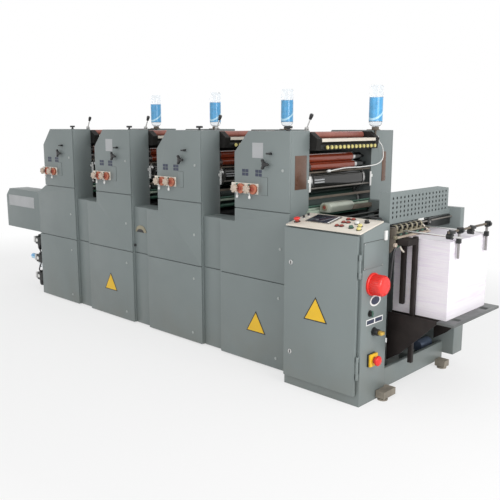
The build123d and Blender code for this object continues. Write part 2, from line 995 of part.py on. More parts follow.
def base_frame():
    """The tray under the delivery, with raised beams at its end and near side."""
    tray_top = delivery_bottom + tray_thickness
    end_left = frame_end - beam_thickness
    tray = block(body_right, frame_end, beam_near, far_housing_front, delivery_bottom, tray_top)
    tray += block(end_left, frame_end, beam_near, far_housing_front, delivery_bottom, beam_top)
    return tray + block(body_right, frame_end, beam_near, near_plate_back, delivery_bottom, beam_top)


def near_side_plate():
    right = frame_end - near_plate_end_inset
    ear_left = right - near_plate_ear_length
    outline = [
        (body_right, beam_top),
        (right, beam_top),
        (right, near_plate_ear_top),
        (ear_left, near_plate_ear_top),
        (ear_left - near_plate_ear_length / 2, near_plate_top),
        (body_right, near_plate_top),
    ]
    return side_profile(outline, near_plate_front, near_plate_back)


def far_side_housing():
    thin = far_housing_front + far_housing_thin
    thick = far_housing_front + far_housing_thick
    outline = [
        (far_housing_front, far_housing_bottom),
        (thick, far_housing_bottom),
        (thick, far_housing_step),
        (thin, far_housing_step + far_housing_thick),
        (thin, far_housing_top),
        (far_housing_front, far_housing_top),
    ]
    return end_profile(outline, body_right, frame_end + far_housing_reach)


def gripper_rails():
    """The two chain rails of the delivery and the gripper bars between them."""
    left = body_right + wash_bar_size * 2 + gripper_wheel_radius
    right = frame_end - near_plate_end_inset - gripper_wheel_radius * 2
    length = right - left + 2 * gripper_wheel_radius
    middle = (left + right) / 2
    rails = []
    for start in (near_plate_back, far_housing_front - gripper_rail_thickness):
        rail = extrude(SlotOverall(length, 2 * gripper_wheel_radius), gripper_rail_thickness)
        rails.append(Pos(middle, start + gripper_rail_thickness, gripper_height) * Rot(90, 0, 0) * rail)
    bars = rails[0] + rails[1]
    pitch = (right - left) / (gripper_bar_count - 1)
    height = gripper_height + gripper_wheel_radius - gripper_bar_drop
    for place in range(gripper_bar_count):
        bars += rod_y(left + place * pitch, height, gripper_bar_radius, near_plate_back, far_housing_front)
    return bars


def perforated_guard():
    """The perforated sheet over the sheet exit, bent back at its near end."""
    near = near_plate_front - guard_thickness
    far = drive_inner - guard_far_inset
    face = frame_end - guard_thickness
    outline = [
        (near, guard_bottom),
        (far, guard_bottom),
        (far, guard_top - guard_far_drop),
        (far - guard_far_slope, guard_top),
        (near, guard_top),
    ]
    guard = end_profile(outline, face, frame_end)
    flange_left = frame_end - guard_flange
    guard += block(flange_left, frame_end, near, near + guard_thickness, guard_bottom, guard_top)
    tab_top = guard_bottom + guard_tab_height
    guard += block(face, frame_end, far, far_housing_front, guard_bottom, tab_top)
    middle_y = (near + far) / 2
    middle_z = (guard_bottom + guard_top) / 2
    hole = extrude(RegularPolygon(guard_hole_radius, guard_hole_sides), guard_thickness * 3)
    spots = GridLocations(guard_column_pitch, guard_row_pitch, guard_columns, guard_rows)
    for spot in spots:
        y = middle_y + spot.position.X
        z = middle_z + spot.position.Y
        guard -= Pos(face - guard_thickness, y, z) * Rot(0, 90, 0) * hole
    return guard


save("base_frame", base_frame())
save("delivery_sides", near_side_plate(), far_side_housing())
save("gripper_rails", gripper_rails())
save("perforated_guard", perforated_guard())


# Sheet exit: toothed wheels over a lip

def toothed_wheel():
    """A thin star wheel with pointed teeth."""
    points = []
    for tooth in range(exit_wheel_teeth):
        angle = radians(360 * tooth / exit_wheel_teeth)
        next_angle = radians(360 * (tooth + 0.5) / exit_wheel_teeth)
        points.append((exit_wheel_radius * cos(angle), exit_wheel_radius * sin(angle)))
        points.append((exit_wheel_root * cos(next_angle), exit_wheel_root * sin(next_angle)))
    return extrude(make_face(Polyline(*points, close=True)), exit_wheel_width)


def sheet_exit():
    x = frame_end + exit_reach / 2
    shaft = rod_y(x, exit_shaft_height, exit_shaft_radius, near_plate_back, far_housing_front)
    first = near_plate_back + exit_wheel_pitch / 2
    last = first + (exit_wheel_count - 1) * exit_wheel_pitch
    for place in range(exit_wheel_count):
        y = first + place * exit_wheel_pitch + exit_wheel_width / 2
        shaft += Pos(x, y, exit_shaft_height) * Rot(90, 0, 0) * toothed_wheel()
    lip = side_profile(
        [
            (frame_end - exit_lip_height, exit_lip_bottom),
            (frame_end + exit_reach, exit_lip_bottom),
            (frame_end + exit_reach, exit_lip_bottom + exit_lip_height / 2),
            (frame_end - exit_lip_height, exit_lip_bottom + exit_lip_height),
        ],
        near_plate_back,
        last + exit_wheel_pitch / 2,
    )
    bracket_left = frame_end - near_plate_end_inset
    bracket = side_profile(
        [
            (bracket_left, exit_bracket_bottom),
            (bracket_left + exit_bracket_foot, exit_bracket_bottom),
            (bracket_left + exit_bracket_length, exit_lip_bottom),
            (bracket_left + exit_bracket_length, exit_shaft_height + exit_shaft_radius),
            (bracket_left, exit_shaft_height + exit_shaft_radius),
        ],
        near_plate_front,
        near_plate_back,
    )
    return shaft + lip + bracket


save("sheet_exit", sheet_exit())


# Guide posts, stop rails and pile table

post_front = pile_near - post_gap - post_size
post_back = pile_near - post_gap


def delivery_posts():
    """The two guide posts on the near side, hung from a bar at the sheet exit."""
    first = frame_end + first_post_offset
    second = frame_end + second_post_offset
    half = post_size / 2
    bar_top = exit_lip_bottom - post_bar_gap
    bar_bottom = bar_top - post_bar_depth
    posts = block(first - half, first + half, post_front, post_back, first_post_bottom, bar_top)
    posts += block(second - half, second + half, post_front, post_back, post_bottom, post_top)
    return posts + block(first - half, second + half, near_plate_back, post_back, bar_bottom, bar_top)


def stop_rails():
    """The two rails that carry the rear stops, from a cross tube at the exit."""
    cross_x = frame_end - near_plate_end_inset / 2
    rails = rod_y(cross_x, rail_height, rail_tube_radius, near_plate_back, far_housing_front)
    for y in (rail_near, rail_far):
        rails += rod_x(y, rail_height, rail_radius, cross_x, press_right)
    return rails


def table_edges():
    """The outer sides of the near and far gusset plates."""
    near_in = post_front - gusset_gap
    near_out = near_in - gusset_thickness
    return near_out, 2 * centre_line - near_out


def pile_table():
    """The lifting board on its two gusset plates and cross members."""
    underside = table_top - board_thickness
    near_out, far_out = table_edges()
    near_in, far_in = near_out + gusset_thickness, far_out - gusset_thickness
    board_right = pile_right - strip_overhang
    table = block(pile_left, board_right, pile_near, pile_far, underside, table_top)
    gusset_outline = [
        (pile_left, gusset_left_bottom),
        (pile_left + gusset_low_run, gusset_left_bottom + gusset_low_rise),
        (board_right, table_top - strip_thickness),
        (board_right, table_top),
        (pile_left, table_top),
    ]
    for y0, y1 in ((near_out, near_in), (far_in, far_out)):
        table += side_profile(gusset_outline, y0, y1)
    cross_bottom = underside - table_cross_depth
    second = frame_end + second_post_offset
    for x in (pile_left, second + post_size):
        table += block(x, x + table_cross_width, near_in, far_in, cross_bottom, underside)
    shoe_left, shoe_right = second - table_shoe_length / 2, second + table_shoe_length / 2
    shoe_top = table_top - strip_thickness
    shoe_front = post_front - journal_end_gap
    return table + block(shoe_left, shoe_right, near_in, shoe_front, cross_bottom, shoe_top)


def table_strip():
    """The slotted end strip, which the stop rods pass through as the table rises."""
    near_out, far_out = table_edges()
    bottom = table_top - strip_thickness
    left, right = pile_right - strip_overhang, pile_right + strip_reach
    strip = block(left, right, near_out, far_out, bottom, table_top)
    slot_x0 = pile_right + stop_gap - stop_slot_gap / 2
    slot_x1 = pile_right + stop_gap + 2 * stop_rod_radius + stop_travel + stop_slot_gap
    for rod in (stop_near, stop_far):
        slot_y0 = rod - stop_rod_radius - stop_slot_extra / 2
        slot_y1 = rod + stop_rod_radius + stop_slot_extra / 2
        strip -= block(slot_x0, slot_x1, slot_y0, slot_y1, bottom - 1, table_top + 1)
    return strip


def paper_pile():
    return block(pile_left, pile_right, pile_near, pile_far, table_top, pile_top)


def rear_stops():
    """A cross bar on two bushings, with a clamped rod at each end."""
    x = pile_right + stop_gap + stop_rod_radius
    half = bushing_size / 2
    bar_height = rail_height + half + stop_bar_radius
    stops = rod_y(x, bar_height, stop_bar_radius, rail_near - half, stop_far + clamp_size)
    for y in (rail_near, rail_far):
        stops += block(x - half, x + half, y - half, y + half, rail_height - half, bar_height)
    for y in (rail_near, rail_far):
        stops -= rod_x(y, rail_height, rail_radius + rail_clearance, x - bushing_size, x + bushing_size)
    clamp_half = clamp_size / 2
    clamp_left, clamp_right = x - clamp_half / 2, x + clamp_half
    clamp_bottom, clamp_top = bar_height - clamp_half, bar_height + clamp_half
    for y in (stop_near, stop_far):
        stops += block(clamp_left, clamp_right, y - clamp_half, y + clamp_half, clamp_bottom, clamp_top)
        stops += rod_z(x, y, stop_rod_radius, stop_rod_bottom, clamp_top)
        stops += rod_x(y, bar_height, stop_knob_radius, clamp_right, clamp_right + stop_knob_radius)
    return stops


save("delivery_posts", delivery_posts())
save("stop_rails", stop_rails())
save("pile_table", pile_table())
save("table_strip", table_strip())
save("paper_pile", paper_pile())
save("rear_stops", rear_stops())


# Console

door_back = console_front + door_thickness
cabinet_front = door_back + door_gap
shelf_front = console_back - console_back_shelf


def console_outline(inset):
    """The cabinet seen from the end, drawn in by one wall where asked."""
    slope = (console_back_top - console_front_top) / (shelf_front - console_front)
    front = cabinet_front + inset
    back = console_back - inset
    front_top = console_front_top + slope * (front - console_front) - inset
    return [
        (front, inset),
        (back, inset),
        (back, console_back_top - console_back_drop - inset),
        (shelf_front - inset, console_back_top - inset),
        (front, front_top),
    ]


def console_cabinet():
    """The sheet-metal cabinet, open at the front behind its door."""
    shell = end_profile(console_outline(0), console_left, console_right)
    inside_left, inside_right = console_left + console_wall, console_right - console_wall
    shell -= end_profile(console_outline(console_wall), inside_left, inside_right)
    rim = console_wall * 3
    opening_top = console_front_top - door_gap * 2 - rim
    opening = block(
        console_left + rim + door_side_margin,
        console_right - rim - door_side_margin,
        cabinet_front - 1,
        cabinet_front + console_wall + 1,
        console_plinth + rim,
        opening_top,
    )
    shell -= opening
    half = hinge_web / 2
    for z0, z1 in hinge_spans():
        low, high = z0 - hinge_length / 2, z1 + hinge_length / 2
        for start, end in ((low, z0 - journal_end_gap), (z1 + journal_end_gap, high)):
            shell += rod_z(hinge_x, hinge_y, hinge_radius, start, end)
            shell += block(hinge_x - half, hinge_x + half, hinge_y, cabinet_front, start, end)
        shell += rod_z(hinge_x, hinge_y, hinge_pin_radius, low, high)
    return shell


hinge_x = console_right - hinge_inset
hinge_y = console_front + door_thickness / 2
door_left = console_left + door_side_margin
door_right = hinge_x - hinge_radius - door_gap
door_top = console_front_top - door_gap * 2


def hinge_spans():
    """The two heights at which the door's own knuckles sit."""
    low = door_bottom + 2 * hinge_length
    high = door_top - 3 * hinge_length
    return [(low, low + hinge_length), (high, high + hinge_length)]


def console_door():
    leaf = block(door_left, door_right, console_front, door_back, door_bottom, door_top)
    leaf = fillet(leaf.edges().filter_by(Axis.Y), door_corner)
    half = hinge_web / 2
    for z0, z1 in hinge_spans():
        knuckle = rod_z(hinge_x, hinge_y, hinge_radius, z0, z1)
        knuckle += block(door_right - 1, hinge_x, hinge_y - half, hinge_y + half, z0, z1)
        knuckle -= rod_z(hinge_x, hinge_y, hinge_pin_radius + pin_clearance, z0 - 1, z1 + 1)
        leaf += knuckle
    return leaf


panel_left = console_left + panel_left_inset
panel_right = console_right - panel_right_inset
panel_width = panel_right - panel_left
panel_rise = console_back_top - console_front_top
panel_run = shelf_front - console_front
panel_depth = sqrt(panel_rise**2 + panel_run**2)
centred_base = (Align.CENTER, Align.CENTER, Align.MIN)


def panel_plane():
    """A plane on the panel's face, with its x along the press and y up the slope."""
    origin = Vector(panel_left, console_front, console_front_top)
    slope = Vector(0, panel_run, panel_rise).normalized()
    normal = Vector(1, 0, 0).cross(slope)
    return Plane(origin=origin + normal * panel_thickness, x_dir=Vector(1, 0, 0), z_dir=normal)


def on_panel(place):
    """A place on the panel, given as shares of its width and depth."""
    across, up = place
    return Pos(panel_width * across, panel_depth * up, 0)


def control_panel():
    """The pale sloping panel, with a raised screen bezel."""
    slab = Pos(panel_width / 2, panel_depth / 2, -panel_thickness / 2)
    slab *= Box(panel_width, panel_depth, panel_thickness)
    slab = fillet(slab.edges().filter_by(Axis.Z), door_corner)
    screen = on_panel(screen_place)
    frame_width, frame_depth = screen_width + 2 * screen_bezel, screen_depth + 2 * screen_bezel
    slab += screen * Box(frame_width, frame_depth, screen_rise, align=centred_base)
    recess = Pos(0, 0, screen_rise - screen_recess)
    slab -= recess * screen * Box(screen_width, screen_depth, screen_rise, align=centred_base)
    return panel_plane() * slab


def cap(radius, height):
    return Cylinder(radius, height, align=centred_base)


def panel_controls():
    """The stop button, the push buttons, turning knobs and small switches on the panel."""
    stop = cap(mushroom_radius / 2, button_height * 2)
    stop += Pos(0, 0, button_height * 2) * cap(mushroom_radius, button_height)
    controls = [on_panel(mushroom_place) * stop]
    controls += [on_panel(place) * cap(button_radius, button_height) for place in button_places]
    controls += [on_panel(place) * cap(knob_radius, knob_height) for place in knob_places]
    controls += [on_panel(place) * cap(switch_radius, switch_height) for place in switch_places]
    return [panel_plane() * control for control in controls]


def side_controls():
    """The inspection plate, switches and stop box on the console's right side."""
    x = console_right
    plate_y0, plate_y1 = console_front + side_plate_start, console_front + side_plate_end
    plate = block(x, x + side_plate_thickness, plate_y0, plate_y1, side_plate_bottom, side_plate_top)
    key_y = console_front + key_switch_offset
    key_x = x + key_switch_length
    key_switch = rod_x(key_y, key_switch_height, key_switch_radius, x, key_x)
    grip_y0, grip_y1 = key_y - key_grip_size / 2, key_y + key_grip_size / 2
    grip_bottom, grip_top = key_switch_height - key_grip_size, key_switch_height + key_grip_size
    key_switch += block(key_x, key_x + key_grip_length, grip_y0, grip_y1, grip_bottom, grip_top)
    box_x = x + stop_box_depth
    box_y0, box_y1 = console_front + stop_box_start, console_front + stop_box_end
    stop_box = block(x, box_x, box_y0, box_y1, stop_box_bottom, stop_box_top)
    stop_y, stop_z = (box_y0 + box_y1) / 2, (stop_box_bottom + stop_box_top) / 2
    stem_x = box_x + stop_stem_length
    stop_box += rod_x(stop_y, stop_z, stop_stem_radius, box_x, stem_x)
    stop_box += rod_x(stop_y, stop_z, mushroom_radius, stem_x, stem_x + button_height)
    knob_y = console_front + side_knob_offset
    knob = rod_x(knob_y, side_knob_height, side_knob_radius, x, x + side_knob_length)
    return [plate, key_switch, stop_box, knob]


def beacon_lamp():
    """The round lamp that points out from the console's right side."""
    lamp = cap(beacon_radius, beacon_length)
    lamp = fillet(lamp.edges().group_by(Axis.Z)[-1], beacon_round)
    lamp += cap(beacon_flange_radius, beacon_flange_thickness)
    return Pos(console_right, console_front + beacon_offset, beacon_height) * Rot(0, 90, 0) * lamp


save("console_cabinet", console_cabinet())
save("console_door", console_door())
save("control_panel", control_panel())
save("panel_controls", *panel_controls())
save("side_controls", *side_controls())
save("beacon_lamp", beacon_lamp())


# Levelling feet

def round_foot(x, y, top):
    """A pad with a screw that meets the housing above it."""
    pad = rod_z(x, y, foot_radius, 0, foot_pad_height)
    return pad + rod_z(x, y, foot_screw_radius, foot_pad_height, top)


def end_foot(y, arm_end):
    """The bracket foot that stands out from the end beam, with an arm along the beam's face."""
    half = end_foot_width / 2
    left = max(frame_end, console_right + foot_gap) if y < console_back else frame_end
    right = frame_end + end_foot_length
    bottom = foot_pad_height + foot_gap
    arm_y0, arm_y1 = sorted((y, arm_end))
    bracket = block(left, right, y - half, y + half, bottom, end_foot_height)
    bracket += block(left, right, arm_y0, arm_y1, bottom, end_foot_height)
    bracket += block(frame_end, right, max(arm_y0, beam_near), arm_y1, bottom, end_foot_height)
    middle = (left + right) / 2
    bracket += rod_z(middle, y, foot_screw_radius, foot_pad_height, end_foot_height)
    return bracket + rod_z(middle, y, half, 0, foot_pad_height)


def levelling_feet():
    """A pair of round feet at the feeder end and under each tower, and two at the end beam."""
    feet = []
    places = [body_left + foot_radius] + [tower_left(unit) + foot_inset for unit in range(unit_count)]
    for x in places:
        feet.append(round_foot(x, (operator_front + operator_inner) / 2, housing_bottom))
        feet.append(round_foot(x, (drive_inner + drive_rear) / 2, housing_bottom))
    feet.append(end_foot(beam_near - end_foot_width, beam_near + end_foot_width / 2))
    far_foot = far_housing_front - end_foot_width
    return feet + [end_foot(far_foot, far_foot + end_foot_width / 2)]


save("levelling_feet", *levelling_feet())
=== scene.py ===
"""A four-unit sheet-fed offset press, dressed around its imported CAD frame. Metres throughout."""
import math

import bmesh
import bpy
from mathutils import Matrix, Vector


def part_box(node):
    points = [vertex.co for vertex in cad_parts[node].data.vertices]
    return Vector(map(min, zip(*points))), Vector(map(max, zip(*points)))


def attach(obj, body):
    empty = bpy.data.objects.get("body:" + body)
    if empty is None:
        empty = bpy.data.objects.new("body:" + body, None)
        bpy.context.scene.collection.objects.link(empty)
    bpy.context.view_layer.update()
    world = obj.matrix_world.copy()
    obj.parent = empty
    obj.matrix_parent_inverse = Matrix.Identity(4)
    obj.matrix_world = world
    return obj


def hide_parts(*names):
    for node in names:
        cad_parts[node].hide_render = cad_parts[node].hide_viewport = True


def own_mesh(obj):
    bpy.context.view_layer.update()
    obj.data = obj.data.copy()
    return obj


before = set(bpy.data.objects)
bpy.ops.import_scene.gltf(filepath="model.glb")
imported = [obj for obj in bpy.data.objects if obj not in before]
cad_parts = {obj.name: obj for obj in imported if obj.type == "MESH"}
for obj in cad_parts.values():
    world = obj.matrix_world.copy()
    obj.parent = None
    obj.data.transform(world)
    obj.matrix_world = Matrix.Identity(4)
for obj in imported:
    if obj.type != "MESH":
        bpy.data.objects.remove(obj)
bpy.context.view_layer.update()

bl_info = {
    "name": "Offset printing press",
    "version": (1, 0, 0),
    "blender": (4, 5, 0),
    "location": "3D View > Sidebar > Press",
    "description": "Finishes, fittings, paper and studio for a four-unit offset press",
    "category": "Object",
}


# Places taken from the frame

X, Y, Z = 0, 1, 2
UNITS = (1, 2, 3, 4)
FRAME_BODY = "press_frame"


def low(node, axis):
    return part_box(node)[0][axis]


def high(node, axis):
    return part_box(node)[1][axis]


def middle(node, axis):
    return (low(node, axis) + high(node, axis)) / 2


OPERATOR_FRONT = low("operator_covers", Y)
OPERATOR_INNER = high("operator_housing", Y)
DRIVE_INNER = low("drive_housing", Y)
DRIVE_REAR = high("drive_covers", Y)
CENTRE_LINE = (OPERATOR_INNER + DRIVE_INNER) / 2
TOWER_TOP = high("operator_housing", Z)
FRAME_END = high("base_frame", X)
CONSOLE_LEFT = low("console_cabinet", X)
CONSOLE_RIGHT = high("console_cabinet", X)
CONSOLE_FRONT = low("console_door", Y)
CONSOLE_BACK = high("console_cabinet", Y)
PLATE_RADIUS = (high("plate_cylinder_1", X) - low("plate_cylinder_1", X)) / 2
# How far a plate cylinder's axis lies behind the right face of its towers
PLATE_SETBACK = 0.105
TOWER_WIDTH = 0.493


def tower_right(unit):
    """X of the right face of a unit's towers, counted from 1 at the feeder."""
    return middle(f"plate_cylinder_{unit}", X) + PLATE_SETBACK


def tower_left(unit):
    return tower_right(unit) - TOWER_WIDTH


# Sizes and colours that a user may change

def length(label, text, default, smallest=0.0):
    return bpy.props.FloatProperty(
        name=label, description=text, default=default, min=smallest, unit="LENGTH", precision=4
    )


def colour(label, text, default):
    return bpy.props.FloatVectorProperty(
        name=label, description=text, default=default, min=0, max=1, size=3, subtype="COLOR"
    )


class PressColours(bpy.types.PropertyGroup):
    paint: colour("Paint", "Grey-green machine paint", (0.196, 0.228, 0.226))
    casting: colour("Casting", "Oily dark castings and bars", (0.030, 0.032, 0.031))
    black: colour("Black paint", "Posts and table", (0.020, 0.0155, 0.0145))
    rubber: colour("Roller rubber", "Inked orange-brown rollers", (0.310, 0.050, 0.018))
    fountain: colour("Fountain roller", "Paler rubber of the fountain rollers", (0.300, 0.105, 0.080))
    blanket: colour("Blanket", "Dark green rubber blanket", (0.028, 0.052, 0.043))
    plate: colour("Printing plate", "Dark plate round its cylinder", (0.020, 0.020, 0.018))
    steel: colour("Steel", "Ground steel", (0.560, 0.560, 0.550))
    cream: colour("Cream", "Cream enamel", (0.760, 0.700, 0.610))
    key: colour("Key", "Moulded ink keys", (0.720, 0.640, 0.240))
    copper: colour("Copper", "Anodised register dials", (0.480, 0.160, 0.095))
    red: colour("Red", "Lamp and stop buttons", (0.780, 0.026, 0.018))
    blue: colour("Blue", "Band round the bottles", (0.085, 0.400, 0.740))
    yellow: colour("Yellow", "Bare triangular plates", (0.820, 0.500, 0.020))
    brown: colour("Brown", "Tinted plates on the towers", (0.130, 0.068, 0.045))
    iron: colour("Foot iron", "Cast feet", (0.150, 0.125, 0.098))
    paper: colour("Paper", "Uncoated sheets", (0.880, 0.850, 0.885))
    label: colour("Bare plate", "Plates and stickers left bare", (0.420, 0.430, 0.440))


class PressSizes(bpy.types.PropertyGroup):
    edge: length("Edge", "Rounding of folded sheet edges", 0.0025)
    key_radius: length("Key radius", "Radius of an ink key", 0.0125, 0.004)
    key_pitch: length("Key pitch", "Distance between ink keys", 0.046, 0.01)
    key_count: bpy.props.IntProperty(name="Keys", description="Ink keys in each duct", default=13, min=1)
    lock_radius: length("Lock radius", "Radius of a quarter-turn lock", 0.010, 0.002)
    slab_count: bpy.props.IntProperty(
        name="Slabs", description="Lifts of sheets in the pile", default=84, min=1
    )
    slab_drift: length("Drift", "How far a lift of sheets lies out of line", 0.0011)


class PressStage(bpy.types.PropertyGroup):
    lens: bpy.props.FloatProperty(
        name="Lens", description="Focal length on a 36 mm sensor", default=48.24, min=10, unit="CAMERA"
    )
    shift: bpy.props.FloatProperty(name="Shift", description="Sideways lens shift", default=0.006)
    eye: bpy.props.FloatVectorProperty(
        name="Eye", description="Where the camera stands",
        default=(4.1215, -3.781, 1.64), subtype="TRANSLATION",
    )
    look: bpy.props.FloatVectorProperty(
        name="Look", description="The way the camera points",
        default=(-0.6803, 0.7095, -0.184), subtype="DIRECTION",
    )
    sky: bpy.props.FloatProperty(
        name="Sky", description="Strength of the soft light from all round", default=0.67
    )
    front_power: bpy.props.FloatProperty(
        name="Front light", description="Power of the large lamp on the operator side",
        default=250.0, unit="POWER",
    )
    end_power: bpy.props.FloatProperty(
        name="End light", description="Power of the lamp at the delivery end", default=130.0, unit="POWER"
    )


# Materials

class Finish:
    """Builds one procedural material on Object coordinates."""

    def __init__(self, name, base, roughness=0.5, metallic=0.0):
        self.material = bpy.data.materials.new(name)
        self.material.use_nodes = True
        self.tree = self.material.node_tree
        self.shader = self.tree.nodes["Principled BSDF"]
        self.shader.inputs["Base Color"].default_value = (*base, 1)
        self.shader.inputs["Roughness"].default_value = roughness
        self.shader.inputs["Metallic"].default_value = metallic
        self.place = self.add("ShaderNodeTexCoord").outputs["Object"]
        self.base = tuple(base)

    def add(self, kind, **settings):
        node = self.tree.nodes.new(kind)
        for key, value in settings.items():
            setattr(node, key, value)
        return node

    def join(self, start, end):
        self.tree.links.new(start, end)

    def value(self, **constants):
        """Sets plain numbers on the shader, such as coat_weight=0.3."""
        for key, number in constants.items():
            self.shader.inputs[key.replace("_", " ").title().replace("Ior", "IOR")].default_value = number

    def noise(self, scale, detail=4.0, stretch=(1, 1, 1)):
        """Noise from 0 to 1, drawn out along the axes where stretch is small."""
        mapping = self.add("ShaderNodeMapping")
        mapping.inputs["Scale"].default_value = stretch
        noise = self.add("ShaderNodeTexNoise")
        noise.inputs["Scale"].default_value = scale
        noise.inputs["Detail"].default_value = detail
        self.join(self.place, mapping.inputs["Vector"])
        self.join(mapping.outputs["Vector"], noise.inputs["Vector"])
        return noise.outputs[0]

    def axis(self, axis):
        split = self.add("ShaderNodeSeparateXYZ")
        self.join(self.place, split.inputs[0])
        return split.outputs[axis]

    def sum(self, operation, a, b):
        node = self.add("ShaderNodeMath", operation=operation)
        for socket, value in zip(node.inputs, (a, b)):
            if isinstance(value, (int, float)):
                socket.default_value = value
            else:
                self.join(value, socket)
        return node.outputs[0]

    def span(self, value, from_low, from_high, to_low=0.0, to_high=1.0):
        """Maps a value from one range to another, held at the ends."""
        node = self.add("ShaderNodeMapRange")
        for socket, number in zip(node.inputs[1:5], (from_low, from_high, to_low, to_high)):
            socket.default_value = number
        self.join(value, node.inputs[0])
        return node.outputs[0]

    def mix(self, factor, a, b):
        node = self.add("ShaderNodeMix", data_type="RGBA")
        self.join(factor, node.inputs[0])
        for socket, value in ((node.inputs[6], a), (node.inputs[7], b)):
            if isinstance(value, tuple):
                socket.default_value = (*value, 1)
            else:
                self.join(value, socket)
        return node.outputs[2]

    def paint(self, value):
        self.join(value, self.shader.inputs["Base Color"])

    def roughen(self, value):
        self.join(value, self.shader.inputs["Roughness"])

    def bump(self, height, strength, distance=0.001):
        node = self.add("ShaderNodeBump")
        node.inputs["Strength"].default_value = strength
        node.inputs["Distance"].default_value = distance
        self.join(height, node.inputs["Height"])
        self.join(node.outputs[0], self.shader.inputs["Normal"])

    def mottled(self, amount, scale):
        """The base colour, a little darker and lighter in soft patches."""
        dark = tuple(part * (1 - amount) for part in self.base)
        light = tuple(min(1, part * (1 + amount)) for part in self.base)
        return self.mix(self.span(self.noise(scale), 0.3, 0.7), dark, light)


def worn_metal(name, base, roughness, metallic=0.0, patch=0.12, grain=260.0, strength=0.12):
    """A finish with soft patches in colour and gloss, and a fine grain."""
    made = Finish(name, base, roughness, metallic)
    made.paint(made.mottled(patch, 9.0))
    made.roughen(made.span(made.noise(14.0), 0.3, 0.7, roughness * 0.82, min(1, roughness * 1.2)))
    made.bump(made.noise(grain, 3.0), strength)
    return made.material


def press_paint(colours):
    """Semi-gloss paint with orange peel and grime near the floor."""
    made = Finish("press_paint", colours.paint, 0.4)
    near_floor = made.span(made.axis(Z), 0.42, 0.0, 0.0, 0.6)
    grime = made.sum("MULTIPLY", near_floor, made.span(made.noise(5.0), 0.25, 0.7))
    warm = tuple(part * share for part, share in zip(colours.paint, (0.92, 0.82, 0.74)))
    made.paint(made.mix(grime, made.mottled(0.035, 2.6), warm))
    made.roughen(made.span(made.noise(7.0), 0.3, 0.7, 0.36, 0.48))
    made.bump(made.noise(420.0, 2.0), 0.06, 0.0006)
    return made.material


def banded(name, ends, base, near, far, roughness, end_roughness, coat=0.0, shaft=None):
    """A covered roller: its cover from near to far along Y, then bare steel, and a darker shaft if given."""
    made = Finish(name, base, roughness)
    place = made.axis(Y)
    before = made.span(place, near - 0.0004, near + 0.0004, 1.0, 0.0)
    beyond = made.span(place, far - 0.0004, far + 0.0004)
    bare = made.sum("MAXIMUM", before, beyond)
    streaks = made.noise(30.0, 3.0, (1, 0.06, 1))
    dark = tuple(part * 0.6 for part in base)
    cover = made.mix(made.span(streaks, 0.3, 0.75), tuple(base), dark)
    metal = tuple(ends)
    if shaft:
        metal = made.mix(made.span(place, far + 0.024, far + 0.026), metal, tuple(shaft))
    made.paint(made.mix(bare, cover, metal))
    made.join(bare, made.shader.inputs["Metallic"])
    made.roughen(made.span(bare, 0, 1, roughness, end_roughness))
    made.bump(made.noise(90.0, 2.0, (1, 0.1, 1)), 0.05)
    made.value(coat_weight=coat, coat_roughness=0.12)
    return made.material


def paper_edges(colours):
    """Sheet edges seen as fine level lines, with a faint violet painted shade between lifts."""
    made = Finish("paper_edges", colours.paper, 0.72)
    lines = made.noise(260.0, 2.0, (0.03, 0.03, 1))
    broad = made.noise(26.0, 2.0, (0.05, 0.05, 1))
    # Painted shade between the lifts, tinted violet
    shade = tuple(part * tint for part, tint in zip(colours.paper, (0.90, 0.84, 0.93)))
    both = made.sum("MULTIPLY", made.span(lines, 0.35, 0.7), made.span(broad, 0.35, 0.65))
    made.paint(made.mix(both, tuple(colours.paper), shade))
    made.bump(made.noise(1400.0, 1.0, (0.02, 0.02, 1)), 0.25, 0.0004)
    return made.material


def clear_plastic(name, tint, roughness):
    made = Finish(name, tint, roughness)
    made.value(transmission_weight=0.92, ior=1.42, coat_weight=0.1)
    made.bump(made.noise(60.0, 2.0), 0.05)
    return made.material


def bottle_band(colours):
    """A glossy blue band with one paler slanting sweep."""
    made = Finish("bottle_band", colours.blue, 0.28)
    slant = made.sum("ADD", made.axis(Z), made.sum("MULTIPLY", made.axis(Y), -0.75))
    wave = made.add("ShaderNodeMath", operation="PINGPONG")
    wave.inputs[1].default_value = 0.085
    made.join(made.sum("ADD", slant, 0.045), wave.inputs[0])
    pale = tuple(min(1, part + 0.42) for part in colours.blue)
    made.paint(made.mix(made.span(wave.outputs[0], 0.074, 0.080), made.mottled(0.16, 30.0), pale))
    made.value(coat_weight=0.4)
    return made.material


def red_lens(colours):
    made = Finish("red_lens", colours.red, 0.22)
    made.paint(made.mottled(0.1, 16.0))
    made.bump(made.noise(140.0, 2.0), 0.05)
    made.value(coat_weight=0.25, subsurface_weight=0.1, subsurface_scale=0.02)
    return made.material


def soot_black(name, base):
    """A dull black that hardly shines."""
    made = Finish(name, base, 0.6)
    made.paint(made.mottled(0.3, 12.0))
    made.bump(made.noise(240.0, 3.0), 0.15)
    made.value(specular_ior_level=0.25)
    return made.material


def knurled(name, base, roughness, metallic):
    """A small part with fine ridges along X."""
    made = Finish(name, base, roughness, metallic)
    made.paint(made.mottled(0.14, 40.0))
    made.bump(made.noise(700.0, 1.0, (0.05, 1, 1)), 0.3, 0.0005)
    return made.material


